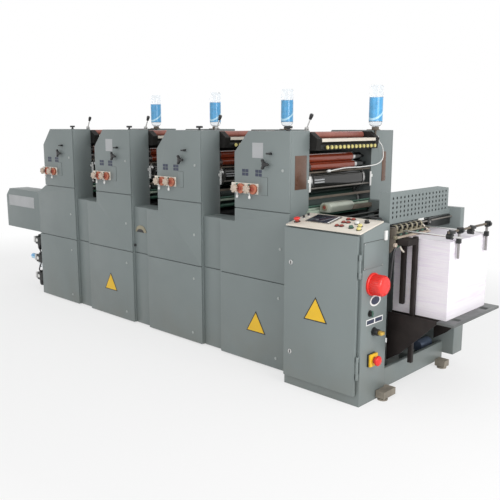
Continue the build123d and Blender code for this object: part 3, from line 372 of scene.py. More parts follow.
# Finishes that worn_metal makes as they are: name, colour, roughness, metallic, patch, grain and bump.
# A colour that is a word is the user's colour of that name.
WORN = {
    "casting": ("oily_casting", "casting", 0.38, 0.55, 0.25),
    "steel": ("ground_steel", "steel", 0.3, 0.9, 0.08, 500.0, 0.06),
    "chrome": ("chromed_bar", (0.70, 0.70, 0.69), 0.16, 1.0, 0.05, 80.0, 0.03),
    "fountain": ("fountain_rubber", "fountain", 0.3, 0.0, 0.2, 60.0, 0.05),
    "cream": ("cream_enamel", "cream", 0.36, 0.0, 0.05, 320.0, 0.05),
    "plastic": ("black_plastic", (0.018, 0.018, 0.019), 0.3, 0.0, 0.2, 400.0, 0.1),
    "red": ("red_plastic", "red", 0.3, 0.0, 0.08, 300.0, 0.05),
    "yellow": ("yellow_plate", "yellow", 0.4, 0.0, 0.05, 200.0, 0.04),
    "brown": ("tinted_plate", "brown", 0.3, 0.0, 0.22, 40.0, 0.05),
    "iron": ("foot_iron", "iron", 0.7, 0.2, 0.25, 160.0, 0.35),
    "foot": ("greased_feet", (0.270, 0.240, 0.195), 0.66, 0.1, 0.3, 120.0, 0.35),
    "label": ("bare_plate", "label", 0.42, 0.0, 0.05, 120.0, 0.04),
    "white": ("white_plastic", (0.80, 0.80, 0.78), 0.42, 0.0, 0.04, 240.0, 0.06),
    "blue": ("blue_print", (0.042, 0.050, 0.085), 0.45, 0.0, 0.1, 200.0, 0.04),
    "screen": ("dark_screen", (0.022, 0.026, 0.042), 0.12, 0.0, 0.2, 5.0, 0.01),
    "brass": ("yellow_brass", (0.72, 0.48, 0.10), 0.3, 0.7, 0.1, 200.0, 0.05),
    "green": ("green_guide", (0.05, 0.13, 0.09), 0.4, 0.0, 0.2, 120.0, 0.08),
    "strip": ("table_strip_paint", (0.115, 0.122, 0.120), 0.4, 0.2, 0.12, 200.0, 0.06),
    "washer": ("pale_box", (0.42, 0.45, 0.38), 0.36, 0.0, 0.12, 180.0, 0.08),
    "lock": ("plated_locks", (0.400, 0.430, 0.420), 0.4, 0.2, 0.08, 200.0, 0.05),
    "dull": ("dull_steel", (0.260, 0.250, 0.245), 0.46, 0.5, 0.12, 200.0, 0.08),
    "oily": ("oily_bars", (0.210, 0.195, 0.175), 0.4, 0.3, 0.2, 120.0, 0.06),
    "pale": ("pale_green_bar", (0.400, 0.480, 0.390), 0.4, 0.0, 0.14, 90.0, 0.05),
    "grip": ("moulded_grips", (0.520, 0.430, 0.350), 0.42, 0.0, 0.12, 300.0, 0.08),
    "dim_red": ("dim_red_buttons", (0.330, 0.060, 0.040), 0.36, 0.0, 0.12, 300.0, 0.05),
    "finger": ("sprung_fingers", (0.300, 0.270, 0.190), 0.38, 0.3, 0.2, 160.0, 0.06),
    "motor": ("blue_grey_motor", (0.10, 0.13, 0.19), 0.4, 0.3, 0.15, 160.0, 0.1),
}
# The housings' inner walls in painted shade, a darker copy of the paint, as a share of its colour
INNER_WALL_PAINTED_SHADE = 0.36
# How far blankets and plates, and the inked rollers' rubber, reach along Y from the centre line
COVER_REACH = 0.28
INKED_REACH = (0.30, 0.20)
MADE = {}


def finishes():
    """Every finish of the press by name, made once."""
    if MADE:
        return MADE
    c = bpy.context.scene.press_colours
    for finish, (name, base, *values) in WORN.items():
        MADE[finish] = worn_metal(name, getattr(c, base) if isinstance(base, str) else base, *values)
    wall = tuple(part * INNER_WALL_PAINTED_SHADE for part in c.paint)
    near, far = CENTRE_LINE - COVER_REACH, CENTRE_LINE + COVER_REACH
    inked = CENTRE_LINE - INKED_REACH[0], CENTRE_LINE + INKED_REACH[1]
    MADE.update({
        "paint": press_paint(c),
        "black": soot_black("black_paint", c.black),
        "duct": soot_black("duct_black", (0.014, 0.013, 0.012)),
        # Painted shade: the housings' inner walls, darker than the paint
        "inner": worn_metal("painted_shade_inner_wall", wall, 0.42, 0.0, 0.3, 120.0, 0.06),
        "rubber": banded("inked_rubber", c.steel, c.rubber, *inked, 0.24, 0.28, 0.5, c.casting),
        "blanket": banded("rubber_blanket", c.steel, c.blanket, near, far, 0.45, 0.3),
        "plate": banded("printing_plate", c.steel, c.plate, near, far, 0.16, 0.28, 0.3),
        "key": knurled("moulded_keys", c.key, 0.4, 0.0),
        "copper": knurled("copper_dials", c.copper, 0.34, 0.45),
        "lens": red_lens(c),
        "band": bottle_band(c),
        "clear": clear_plastic("clear_bottle", (0.93, 0.97, 1.0), 0.06),
        "paper": paper_edges(c),
    })
    return MADE


# Forms: each function returns one closed mesh that a piece takes in

def block(x0, x1, y0, y1, z0, z1):
    form = bmesh.new()
    spread = Matrix.Diagonal((x1 - x0, y1 - y0, z1 - z0, 1))
    place = Matrix.Translation(((x0 + x1) / 2, (y0 + y1) / 2, (z0 + z1) / 2))
    bmesh.ops.create_cube(form, size=1, matrix=place @ spread)
    return form


def block_at(place, *spans):
    """A block whose start and end along each axis are given from a place."""
    return block(*(place[axis] + end for axis, span in enumerate(spans) for end in span))


def across(axis, first, second, height):
    """A point from its place along an axis and its two coordinates in the plane across it."""
    if axis == X:
        return Vector((height, first, second))
    if axis == Y:
        return Vector((first, height, second))
    return Vector((first, second, height))


def prism(outline, axis, start, end):
    """An outline in the plane across an axis, carried along it."""
    form = bmesh.new()
    near = [form.verts.new(across(axis, a, b, start)) for a, b in outline]
    far = [form.verts.new(across(axis, a, b, end)) for a, b in outline]
    form.faces.new(near)
    form.faces.new(far[::-1])
    for here, there, there_far, here_far in zip(near, near[1:] + near[:1], far[1:] + far[:1], far):
        form.faces.new((here, there, there_far, here_far))
    return form


def ring_of(form, sides, place):
    """One ring of corners, each where place(cosine, sine) says."""
    turns = [2 * math.pi * step / sides for step in range(sides)]
    return [form.verts.new(place(math.cos(turn), math.sin(turn))) for turn in turns]


def skin(form, rings, closed=False):
    """Joins rings of corners with faces, and then caps both ends or joins the last ring to the first."""
    following = rings[1:] + rings[:1] if closed else rings[1:]
    for ring, after in zip(rings, following):
        for here, there, beyond, behind in zip(ring, ring[1:] + ring[:1], after[1:] + after[:1], after):
            form.faces.new((here, there, beyond, behind))
    if not closed:
        form.faces.new(rings[0][::-1])
        form.faces.new(rings[-1])
    return form


def turned(profile, axis, centre, sides=32, closed=False):
    """A profile of (radius, place along the axis) pairs turned about the axis; closed, it has a bore."""
    form = bmesh.new()
    rings = [
        ring_of(form, sides, lambda c, s: Vector(centre) + across(axis, radius * c, radius * s, place))
        for radius, place in profile
    ]
    return skin(form, rings, closed)


def placed(profile, start, way=1):
    """A profile of (radius, distance) pairs, set out from a place along its axis."""
    return [(radius, start + way * distance) for radius, distance in profile]


def reach(base, way, ends):
    """Where a piece that stands out from a base by two distances starts and ends, the smaller first."""
    return sorted(base + way * end for end in ends)


def disc(axis, centre, radius, start, end, sides=28):
    """A plain round from start to end along an axis, with its centre's other coordinates."""
    return turned([(radius, start), (radius, end)], axis, on_axis(axis, centre), sides)


def on_axis(axis, centre):
    moved = Vector(centre)
    moved[axis] = 0
    return moved


def swept(points, radius, sides=12):
    """A round bar along a line of points, with its ends closed."""
    form = bmesh.new()
    line = [Vector(point) for point in points]
    rings = []
    side = None
    for place, point in enumerate(line):
        along = (line[min(place + 1, len(line) - 1)] - line[max(place - 1, 0)]).normalized()
        if side is None:
            side = along.orthogonal().normalized()
        side = (side - along * side.dot(along)).normalized()
        up = along.cross(side)
        rings.append(ring_of(form, sides, lambda c, s: point + radius * (c * side + s * up)))
    return skin(form, rings)


def rounded_line(points, steps=6):
    """A smooth line through points, for pipes, short fixed hoses and bent wire."""
    line = [Vector(point) for point in points]
    padded = [line[0] * 2 - line[1], *line, line[-1] * 2 - line[-2]]
    smooth = []
    for a, b, c, d in zip(padded, padded[1:], padded[2:], padded[3:]):
        for step in range(steps):
            t = step / steps
            bend = (2 * a - 5 * b + 4 * c - d) * t * t + (3 * b - a - 3 * c + d) * t ** 3
            smooth.append(0.5 * (2 * b + (c - a) * t + bend))
    return [*smooth, line[-1]]


def arc(centre, radius, start, end, steps):
    """Points on an arc in the plane of an outline, angles in degrees."""
    turn = [math.radians(start + (end - start) * step / steps) for step in range(steps + 1)]
    return [(centre[0] + radius * math.cos(a), centre[1] + radius * math.sin(a)) for a in turn]


def lobes(centre, radius, spread, count, start=90.0, steps=8):
    """A hand grip's outline, of round lobes set out from its centre by the spread."""
    outline = []
    for lobe in range(count):
        angle = math.radians(start + 360 * lobe / count)
        tip = (centre[0] + spread * math.cos(angle), centre[1] + spread * math.sin(angle))
        facing = math.degrees(angle)
        outline += arc(tip, radius, facing - 95, facing + 95, steps)
    return outline


class Piece:
    """One object of the press, gathered from closed forms."""

    def __init__(self, name, body=FRAME_BODY, slot=None, replaces=()):
        self.name = name
        self.body = body
        self.slot = slot
        self.replaces = replaces
        self.mesh = bmesh.new()
        self.used = []

    def add(self, form, finish, edge=0.0, steps=2, turn=None):
        """Takes a form in, with its sharp edges rounded and its faces pointing outwards."""
        bmesh.ops.recalc_face_normals(form, faces=form.faces)
        if edge:
            sharp = [e for e in form.edges if e.calc_face_angle(0) > math.radians(28)]
            bmesh.ops.bevel(
                form, geom=sharp, offset=edge, segments=steps, profile=0.5, affect="EDGES", clamp_overlap=True
            )
        if turn is not None:
            form.transform(turn)
        if finish not in self.used:
            self.used.append(finish)
        taken = bpy.data.meshes.new("form")
        form.to_mesh(taken)
        form.free()
        known = len(self.mesh.faces)
        self.mesh.from_mesh(taken)
        bpy.data.meshes.remove(taken)
        for face in list(self.mesh.faces)[known:]:
            face.material_index = self.used.index(finish)
            face.smooth = True
        return self

    def done(self):
        mesh = bpy.data.meshes.new(self.name)
        self.mesh.to_mesh(mesh)
        self.mesh.free()
        return place_mesh(self.name, mesh, self.used, self.body, self.replaces)


def place_mesh(name, mesh, used, body, replaces=()):
    """Puts a finished mesh in the scene as a piece that rides on a body."""
    if mesh.materials:
        mesh.materials.clear()
    for finish in used:
        mesh.materials.append(finishes()[finish])
    mesh.set_sharp_from_angle(angle=math.radians(34))
    piece = bpy.data.objects.new(name, mesh)
    bpy.context.scene.collection.objects.link(piece)
    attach(piece, body)
    if replaces:
        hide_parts(*replaces)
    return piece


def softened(node, finish, body, edge, inner=None):
    """A CAD node's own shape with its sharp edges rounded, and painted shade on the wall at the Y of inner.
    """
    form = bmesh.new()
    form.from_mesh(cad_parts[node].data)
    bmesh.ops.remove_doubles(form, verts=form.verts, dist=0.00002)
    bmesh.ops.dissolve_limit(form, angle_limit=math.radians(1), verts=form.verts, edges=form.edges)
    sharp = [e for e in form.edges if len(e.link_faces) == 2 and e.calc_face_angle(0) > math.radians(40)]
    bmesh.ops.bevel(
        form, geom=sharp, offset=edge, segments=2, profile=0.5, affect="EDGES", clamp_overlap=True
    )
    for face in form.faces:
        face.smooth = True
        if inner is not None and abs(face.normal.y) > 0.99:
            face.material_index = int(abs(face.calc_center_median().y - inner) < 0.001)
    mesh = bpy.data.meshes.new(f"{node}_finished")
    form.to_mesh(mesh)
    form.free()
    used = [finish] if inner is None else [finish, "inner"]
    return place_mesh(f"{node}_finished", mesh, used, body, [node])


# Geometry Nodes: what repeats

class Grower:
    """Builds one Geometry Nodes tree with named inputs."""

    def __init__(self, name):
        self.tree = bpy.data.node_groups.new(name, "GeometryNodeTree")
        self.tree.interface.new_socket("Geometry", in_out="OUTPUT", socket_type="NodeSocketGeometry")
        self.tree.interface.new_socket("Base", in_out="INPUT", socket_type="NodeSocketGeometry")
        self.start = self.tree.nodes.new("NodeGroupInput")
        self.end = self.tree.nodes.new("NodeGroupOutput")

    def input(self, name, kind):
        self.tree.interface.new_socket(name, in_out="INPUT", socket_type=f"NodeSocket{kind}")
        return self.start.outputs[name]

    def add(self, kind, inputs=None, **settings):
        node = self.tree.nodes.new(kind if kind.startswith(("Function", "Shader")) else f"GeometryNode{kind}")
        for key, value in settings.items():
            setattr(node, key, value)
        for key, value in (inputs or {}).items():
            if isinstance(value, bpy.types.NodeSocket):
                self.tree.links.new(value, node.inputs[key])
            else:
                node.inputs[key].default_value = value
        return node

    def share(self, value, factor):
        """A value times a plain number."""
        return self.add("ShaderNodeMath", {0: value, 1: factor}, operation="MULTIPLY").outputs[0]

    def joined(self, *parts):
        both = self.add("JoinGeometry")
        for part in parts:
            self.tree.links.new(part, both.inputs[0])
        return both.outputs[0]

    def row(self, line):
        """Points of a line that starts at every point of the base."""
        base = self.start.outputs["Base"]
        starts = self.add("InstanceOnPoints", {"Points": base, "Instance": line})
        return self.add("RealizeInstances", {"Geometry": starts.outputs[0]}).outputs[0]

    def on_points(self, points, instance, rotation=(0, 0, 0)):
        values = {"Points": points, "Instance": instance, "Rotation": rotation}
        return self.add("InstanceOnPoints", values).outputs[0]

    def close(self, geometry):
        """Realizes what was instanced, gives it its finish and ends the tree."""
        finish = self.input("Finish", "Material")
        realize = self.add("RealizeInstances", {"Geometry": geometry})
        painted = self.add("SetMaterial", {"Geometry": realize.outputs[0], "Material": finish})
        self.tree.links.new(painted.outputs[0], self.end.inputs[0])
        return self.tree


def grow(name, tree, base, values, finish, body, replaces=()):
    """Runs a tree on a base mesh and keeps the result as a plain mesh."""
    source = bpy.data.objects.new(f"{name}_base", base)
    bpy.context.scene.collection.objects.link(source)
    modifier = source.modifiers.new("Grow", "NODES")
    modifier.node_group = tree
    named = {item.name: item.identifier for item in tree.interface.items_tree if item.in_out == "INPUT"}
    for label, value in {**values, "Finish": finishes()[finish]}.items():
        modifier[named[label]] = value
    depsgraph = bpy.context.evaluated_depsgraph_get()
    mesh = bpy.data.meshes.new_from_object(source.evaluated_get(depsgraph), depsgraph=depsgraph)
    source.modifiers.remove(modifier)
    bpy.data.objects.remove(source)
    bpy.data.meshes.remove(base)
    mesh.name = name
    return place_mesh(name, mesh, [finish], body, replaces)


def spots(name, places):
    """A base mesh of loose points, each with the way that what grows on it faces."""
    mesh = bpy.data.meshes.new(name)
    mesh.from_pydata([place for place, _ in places], [], [])
    facing = mesh.attributes.new("facing", "FLOAT_VECTOR", "POINT")
    for index, (_, way) in enumerate(places):
        facing.data[index].vector = way
    return mesh


def fastener_tree():
    """A low round head with a raised middle, on every point, facing the point's own way."""
    g = Grower("fasteners")
    radius, depth = g.input("Radius", "Float"), g.input("Depth", "Float")
    rim = g.add("MeshCylinder", {"Vertices": 20, "Radius": radius, "Depth": depth})
    middle_size = {"Vertices": 14, "Radius": g.share(radius, 0.62), "Depth": g.share(depth, 1.7)}
    crown = g.add("MeshCylinder", middle_size)
    facing = g.add("InputNamedAttribute", {"Name": "facing"}, data_type="FLOAT_VECTOR")
    turn = g.add("FunctionNodeAlignEulerToVector", {"Vector": facing.outputs[0]}, axis="Z")
    head = g.joined(rim.outputs[0], crown.outputs[0])
    return g.close(g.on_points(g.start.outputs["Base"], head, turn.outputs[0]))


def key_tree():
    """A row of star-sided thumb screws along Y."""
    g = Grower("ink_key_row")
    count, pitch = g.input("Count", "Int"), g.input("Pitch", "Vector")
    radius, inner = g.input("Radius", "Float"), g.input("Inner radius", "Float")
    head = g.input("Head length", "Vector")
    star = g.add("CurveStar", {"Points": 12, "Outer Radius": radius, "Inner Radius": inner})
    filled = g.add("FillCurve", {"Curve": star.outputs[0]})
    grown = g.add("ExtrudeMesh", {"Mesh": filled.outputs[0], "Offset": head, "Individual": False})
    back = g.add("FlipFaces", {"Mesh": filled.outputs[0]})
    solid = g.joined(grown.outputs[0], back.outputs[0])
    merged = g.add("MergeByDistance", {"Geometry": solid, "Distance": 0.00001})
    points = g.row(g.add("MeshLine", {"Count": count, "Offset": pitch}).outputs[0])
    return g.close(g.on_points(points, merged.outputs[0], (0, math.pi / 2, 0)))


def slab_tree():
    """Lifts of sheets, each a little out of line with the one below."""
    g = Grower("sheet_lifts")
    count, rise = g.input("Count", "Int"), g.input("Rise", "Vector")
    size = g.input("Size", "Vector")
    drift, inward = g.input("Drift", "Vector"), g.input("Inward drift", "Vector")
    points = g.row(g.add("MeshLine", {"Count": count, "Offset": rise}).outputs[0])
    limits = {"Min": inward, "Max": drift, "Seed": 7}
    aside = g.add("FunctionNodeRandomValue", limits, data_type="FLOAT_VECTOR")
    moved = g.add("SetPosition", {"Geometry": points, "Offset": aside.outputs[0]})
    lift = g.add("MeshCube", {"Size": size})
    return g.close(g.on_points(moved.outputs[0], lift.outputs[0]))


def slat_tree():
    """Vent louvres, one thin tilted slat above another."""
    g = Grower("vent_louvres")
    count, rise = g.input("Count", "Int"), g.input("Rise", "Vector")
    slat = g.add("MeshCube", {"Size": g.input("Size", "Vector")})
    points = g.row(g.add("MeshLine", {"Count": count, "Offset": rise}).outputs[0])
    return g.close(g.on_points(points, slat.outputs[0], (math.radians(-32), 0, 0)))


def rib_tree():
    """Ribs that stand round a lens about the X axis."""
    g = Grower("lens_ribs")
    count, radius = g.input("Count", "Int"), g.input("Radius", "Float")
    size = g.input("Size", "Vector")
    upright = (0, math.pi / 2, 0)
    circle = g.add("MeshCircle", {"Vertices": count, "Radius": radius})
    ring = g.add("Transform", {"Geometry": circle.outputs[0], "Rotation": upright})
    rib = g.add("MeshCylinder", {"Vertices": 8, "Radius": 0.0028, "Depth": 1.0})
    sized = g.add("Transform", {"Geometry": rib.outputs[0], "Rotation": upright, "Scale": size})
    return g.close(g.on_points(g.row(ring.outputs[0]), sized.outputs[0]))


# Operators

class PressOperator:
    """What every operator of the press shares."""

    bl_options = {"REGISTER", "UNDO"}


def front_block(x0, x1, z0, z1, out, front=OPERATOR_FRONT):
    """A block on a face that looks to the operator, from out[0] to out[1] in front of it."""
    return block(x0, x1, front - out[1], front - out[0], z0, z1)


def front_disc(x, z, radius, out, sides=28, front=OPERATOR_FRONT):
    return disc(Y, (x, 0, z), radius, front - out[0], front - out[1], sides)


def front_prism(outline, out, front=OPERATOR_FRONT):
    return prism(outline, Y, front - out[1], front - out[0])


class PRESS_OT_finish_frame(PressOperator, bpy.types.Operator):
    """Gives every carried-over CAD node its finish, and rounds the sheet-metal edges"""

    bl_idname = "press.finish_frame"
    bl_label = "Finish the frame"

    plain = {
        "casting": ("bed_casting", "gripper_rails", "feeder_head"),
        "chrome": ("stop_rails",),
        "black": ("feeder_pile_board",),
        "duct": ("ink_ducts", "unit_hoods"),
        "cream": ("feed_board",),
        "fountain": ("fountain_rollers",),
        "foot": ("levelling_feet",),
        "iron": ("bottle_holders",),
        "rubber": tuple(f"{kind}_roller_{unit}" for kind in ("ink", "form") for unit in UNITS),
        "blanket": tuple(f"blanket_cylinder_{unit}" for unit in UNITS),
        "plate": tuple(f"plate_cylinder_{unit}" for unit in UNITS),
        "paint": ("perforated_guard",),
    }
    sheet_metal = (
        "operator_housing", "drive_housing", "operator_covers", "drive_covers",
        "feeder_side_boxes", "delivery_sides", "base_frame", "console_cabinet",
    )
    rounded = (
        ("paint", FRAME_BODY, sheet_metal, 1.0),
        ("black", FRAME_BODY, ("delivery_posts",), 1.0),
        ("cream", FRAME_BODY, ("control_panel",), 1.0),
        ("paint", "console_door", ("console_door",), 1.0),
        ("black", "pile_table", ("pile_table",), 0.5),
        ("strip", "pile_table", ("table_strip",), 0.5),
    )
    # Walls at these Y get painted shade, a darker copy of the paint
    inner_walls = {"operator_housing": OPERATOR_INNER, "drive_housing": DRIVE_INNER}

    def execute(self, context):
        made = finishes()
        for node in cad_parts.values():
            node.data.materials.clear()
            node.data.materials.append(made["casting"])
        for finish, nodes in self.plain.items():
            for node in nodes:
                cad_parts[node].data.materials[0] = made[finish]
        edge = context.scene.press_sizes.edge
        for finish, body, nodes, share in self.rounded:
            for node in nodes:
                softened(node, finish, body, edge * share, self.inner_walls.get(node))
        return {"FINISHED"}


class PRESS_OT_cover_locks(PressOperator, bpy.types.Operator):
    """Quarter-turn locks that hold the lift-off covers"""

    bl_idname = "press.cover_locks"
    bl_label = "Cover locks"

    setbacks = (0.075, 0.085, 0.105)
    heights = (0.840, 0.507, 0.085)
    front_offset = 0.434
    front_height = 1.350
    depth = 0.005

    def execute(self, context):
        places = []
        for side, y in ((-1, OPERATOR_FRONT), (1, DRIVE_REAR)):
            way = (0, side, 0)
            for unit in UNITS:
                for setback, height in zip(self.setbacks, self.heights):
                    places.append(((tower_right(unit) - setback, y, height), way))
                places.append(((tower_left(unit) + self.front_offset, y, self.front_height), way))
        values = {"Radius": context.scene.press_sizes.lock_radius, "Depth": self.depth}
        base = spots("lock_places", places)
        grow("cover_locks", fastener_tree(), base, values, "lock", FRAME_BODY)
        return {"FINISHED"}


class PRESS_OT_hand_hole(PressOperator, bpy.types.Operator):
    """The arched hand hole and the small latch in the set-back cover right of unit 2"""

    bl_idname = "press.hand_hole"
    bl_label = "Hand hole"

    unit = 2
    set_back = 0.026
    offset = 0.089
    base = 0.782
    rim = (0.070, 0.056)
    rim_out = (0, 0.004)
    hole = (0.044, 0.026)
    hole_shift = 0.004
    hole_out = (0.002, 0.0052)
    latch_place = (0.012, 0.668)
    latch_radius = 0.011
    latch_out = (0, 0.012)

    def arch(self, x, half_width, height):
        turns = [math.pi * step / 20 for step in range(21)]
        return [(x + half_width * math.cos(a), self.base + height * math.sin(a)) for a in turns]

    def execute(self, context):
        right = tower_right(self.unit)
        front = OPERATOR_FRONT + self.set_back
        x = right + self.offset
        hole = Piece("hand_hole", FRAME_BODY, "dark_casting")
        hole.add(front_prism(self.arch(x, *self.rim), self.rim_out, front), "finger", 0.0015)
        # The hole is a black arch standing on the rim: painted shade for the hollow behind it
        arch = self.arch(x - self.hole_shift, *self.hole)
        hole.add(front_prism(arch, self.hole_out, front), "plastic", 0.0005)
        beside, height = self.latch_place
        latch = front_disc(right + beside, height, self.latch_radius, self.latch_out, 20, front)
        hole.add(latch, "plastic", 0.002)
        hole.done()
        return {"FINISHED"}


class PRESS_OT_tower_marks(PressOperator, bpy.types.Operator):
    """Bare plates, blue pads and tinted plates on the towers"""

    bl_idname = "press.tower_marks"
    bl_label = "Tower plates"

    # A plate's left, right, bottom and top, from the tower's left edge and the floor
    hatch = (0.246, 0.305, 1.182, 1.299)
    hatch_out = (0.0005, 0.003)
    hatch_line = 0.001
    sticker = (0.167, 0.264, 1.424, 1.523)
    sticker_units = (2, 4)
    sticker_out = (0, 0.0009)
    pads = (0.102, 0.224)
    pad_height = 1.325
    pad_size = (0.027, 0.020)
    pad_gap = 0.004
    pad_out = (0, 0.0012)
    # White angles on the housings' inner edges: how far over the edge and away from it, and their heights
    angle_reach = (-0.002, 0.014)
    angle_span = (1.203, 1.306)
    tab_reach = (-0.016, 0)
    tab_span = (1.265, 1.285)
    angle_wrap = 0.002
    angle_depth = 0.005
    tints = ((-0.477, -0.361), (0.530, 0.580))
    tint_span = (1.227, 1.444)
    tint_depth = 0.003

    def plate(self, marks, left, place, out, finish, edge=0.0, steps=2, margin=0.0):
        x0, x1, z0, z1 = place
        form = front_block(left + x0 - margin, left + x1 + margin, z0 - margin, z1 + margin, out)
        marks.add(form, finish, edge, steps)

    def pad_places(self):
        """Four pads in a square at each place."""
        width, height = self.pad_size
        for offset in self.pads:
            for beside in (-0.5, 0.5):
                for above in (-0.5, 0.5):
                    x = offset + beside * (width + self.pad_gap)
                    z = self.pad_height + above * (height + self.pad_gap)
                    yield x - width / 2, x + width / 2, z - height / 2, z + height / 2

    def angles(self, marks, right):
        for inner, way in ((OPERATOR_INNER, 1), (DRIVE_INNER, -1)):
            wide = reach(inner, way, self.angle_reach)
            tab = reach(inner, way, self.tab_reach)
            end = right + self.angle_depth
            marks.add(block(right - self.angle_wrap, end, *wide, *self.angle_span), "white", 0.001)
            marks.add(block(right, end, *tab, *self.tab_span), "white", 0.001)

    def execute(self, context):
        marks = Piece("tower_plates")
        for unit in UNITS:
            left = tower_left(unit)
            line = self.hatch_line
            self.plate(marks, left, self.hatch, (0, line), "plastic", margin=line)
            self.plate(marks, left, self.hatch, self.hatch_out, "paint", 0.0008)
            if unit in self.sticker_units:
                self.plate(marks, left, self.sticker, self.sticker_out, "label", 0.0003, 1)
            for place in self.pad_places():
                self.plate(marks, left, place, self.pad_out, "blue", 0.0004, 1)
            self.angles(marks, tower_right(unit))
        marks.done()
        tint = Piece("tinted_plates")
        right = tower_right(UNITS[-1])
        for span in self.tints:
            tint.add(block(right, right + self.tint_depth, *span, *self.tint_span), "brown", 0.001)
        tint.done()
        return {"FINISHED"}


class PRESS_OT_triangle_plates(PressOperator, bpy.types.Operator):
    """Plain yellow triangular plates with a thin dark rim, left bare"""

    bl_idname = "press.triangle_plates"
    bl_label = "Triangle plates"

    width = 0.180
    height = 0.152
    rim = 0.007
    rim_out = (0, 0.0016)
    face_out = (0.0008, 0.00256)
    places = (
        ("triangle_plate_2", tower_right(2) - 0.320, OPERATOR_FRONT, 0.238, FRAME_BODY),
        ("triangle_plate_4", tower_right(4) - 0.290, OPERATOR_FRONT, 0.228, FRAME_BODY),
        ("triangle_plate_door", CONSOLE_RIGHT - 0.314, CONSOLE_FRONT, 0.468, "console_door"),
    )

    def triangle(self, x, z, inset):
        half = self.width / 2 - inset * 1.7
        return [(x - half, z + inset), (x + half, z + inset), (x, z + self.height - inset * 2)]

    def execute(self, context):
        for name, x, front, z, body in self.places:
            plate = Piece(name, body)
            plate.add(front_prism(self.triangle(x, z, 0), self.rim_out, front), "plastic", 0.0005, 1)
            plate.add(front_prism(self.triangle(x, z, self.rim), self.face_out, front), "yellow")
            plate.done()
        return {"FINISHED"}


class PRESS_OT_register_controls(PressOperator, bpy.types.Operator):
    """Dials with star grips and drop levers on a cream plate, at the front of each tower"""

    bl_idname = "press.register_controls"
    bl_label = "Register controls"

    plate_reach = (-0.022, 0.224)
    plate_span = (1.184, 1.254)
    plate_depth = 0.008
    dials = (0.062, 0.176)
    height = 1.218
    dial_radius = 0.034
    dial_depth = 0.024
    dial_shift = 0.018
    dial_shape = ((0.72, 0), (0.72, 0.25), (0.98, 0.3), (1, 0.4), (1, 0.85), (0.9, 1), (0.4, 1))
    hub_share = 0.36
    hub_rise = 0.004
    grip_shift = 0.017
    grip_lobe = 0.0075
    grip_radius = 0.0215
    grip_out = (0.034, 0.052)
    stem_radius = 0.012
    stem_out = (0, 0.032)
    boss_out = (0.030, 0.0555)
    lever_length = 0.050
    lever_shape = ((0.0015, -0.001), (0.0072, 0.003), (0.0085, 0.014), (0.0045, 0.024), (0.0045, 0.050))
    stud_shift = 0.026
    stud_drop = 0.010
    stud_radius = 0.006
    stud_out = (0, 0.012)

    def dial(self, piece, x, front):
        z = self.height
        r, d = self.dial_radius, self.dial_depth
        profile = [(r * share, front - d * deep) for share, deep in self.dial_shape]
        piece.add(turned(profile, Y, (x + self.dial_shift, 0, z), 40), "copper")
        hub = front_disc(x + self.dial_shift, z, r * self.hub_share, (d, d + self.hub_rise), front=front)
        piece.add(hub, "dim_red", 0.001)
        grip_x = x - self.grip_shift
        outline = lobes((grip_x, z), self.grip_lobe, self.grip_radius, 6, 20.0, 6)
        piece.add(front_disc(grip_x, z, self.stem_radius, self.stem_out, front=front), "dull", 0.001)
        piece.add(front_prism(outline, self.grip_out, front), "grip", 0.002)
        piece.add(front_disc(grip_x, z, self.stem_radius, self.boss_out, front=front), "grip", 0.002)

    def lever(self, piece, x, front):
        """The lever that hangs below a grip."""
        y = front - self.dial_depth / 2
        tip = self.height - self.dial_radius / 2 - self.lever_length
        piece.add(turned(placed(self.lever_shape, tip), Z, (x, y, 0), 16), "white")

    def execute(self, context):
        controls = Piece("register_controls_finished", FRAME_BODY, "copper_dial", ["register_controls"])
        bottom, top = self.plate_span
        front = OPERATOR_FRONT - self.plate_depth
        for unit in UNITS:
            left = tower_left(unit)
            start, end = (left + part for part in self.plate_reach)
            controls.add(front_block(start, end, bottom, top, (0, self.plate_depth)), "cream", 0.002)
            for offset in self.dials:
                x = left + offset
                self.dial(controls, x, front)
                self.lever(controls, x - self.grip_shift, front)
                place = (x - self.stud_shift, top - self.stud_drop)
                controls.add(front_disc(*place, self.stud_radius, self.stud_out, 12, front), "green", 0.001)
        controls.done()
        return {"FINISHED"}


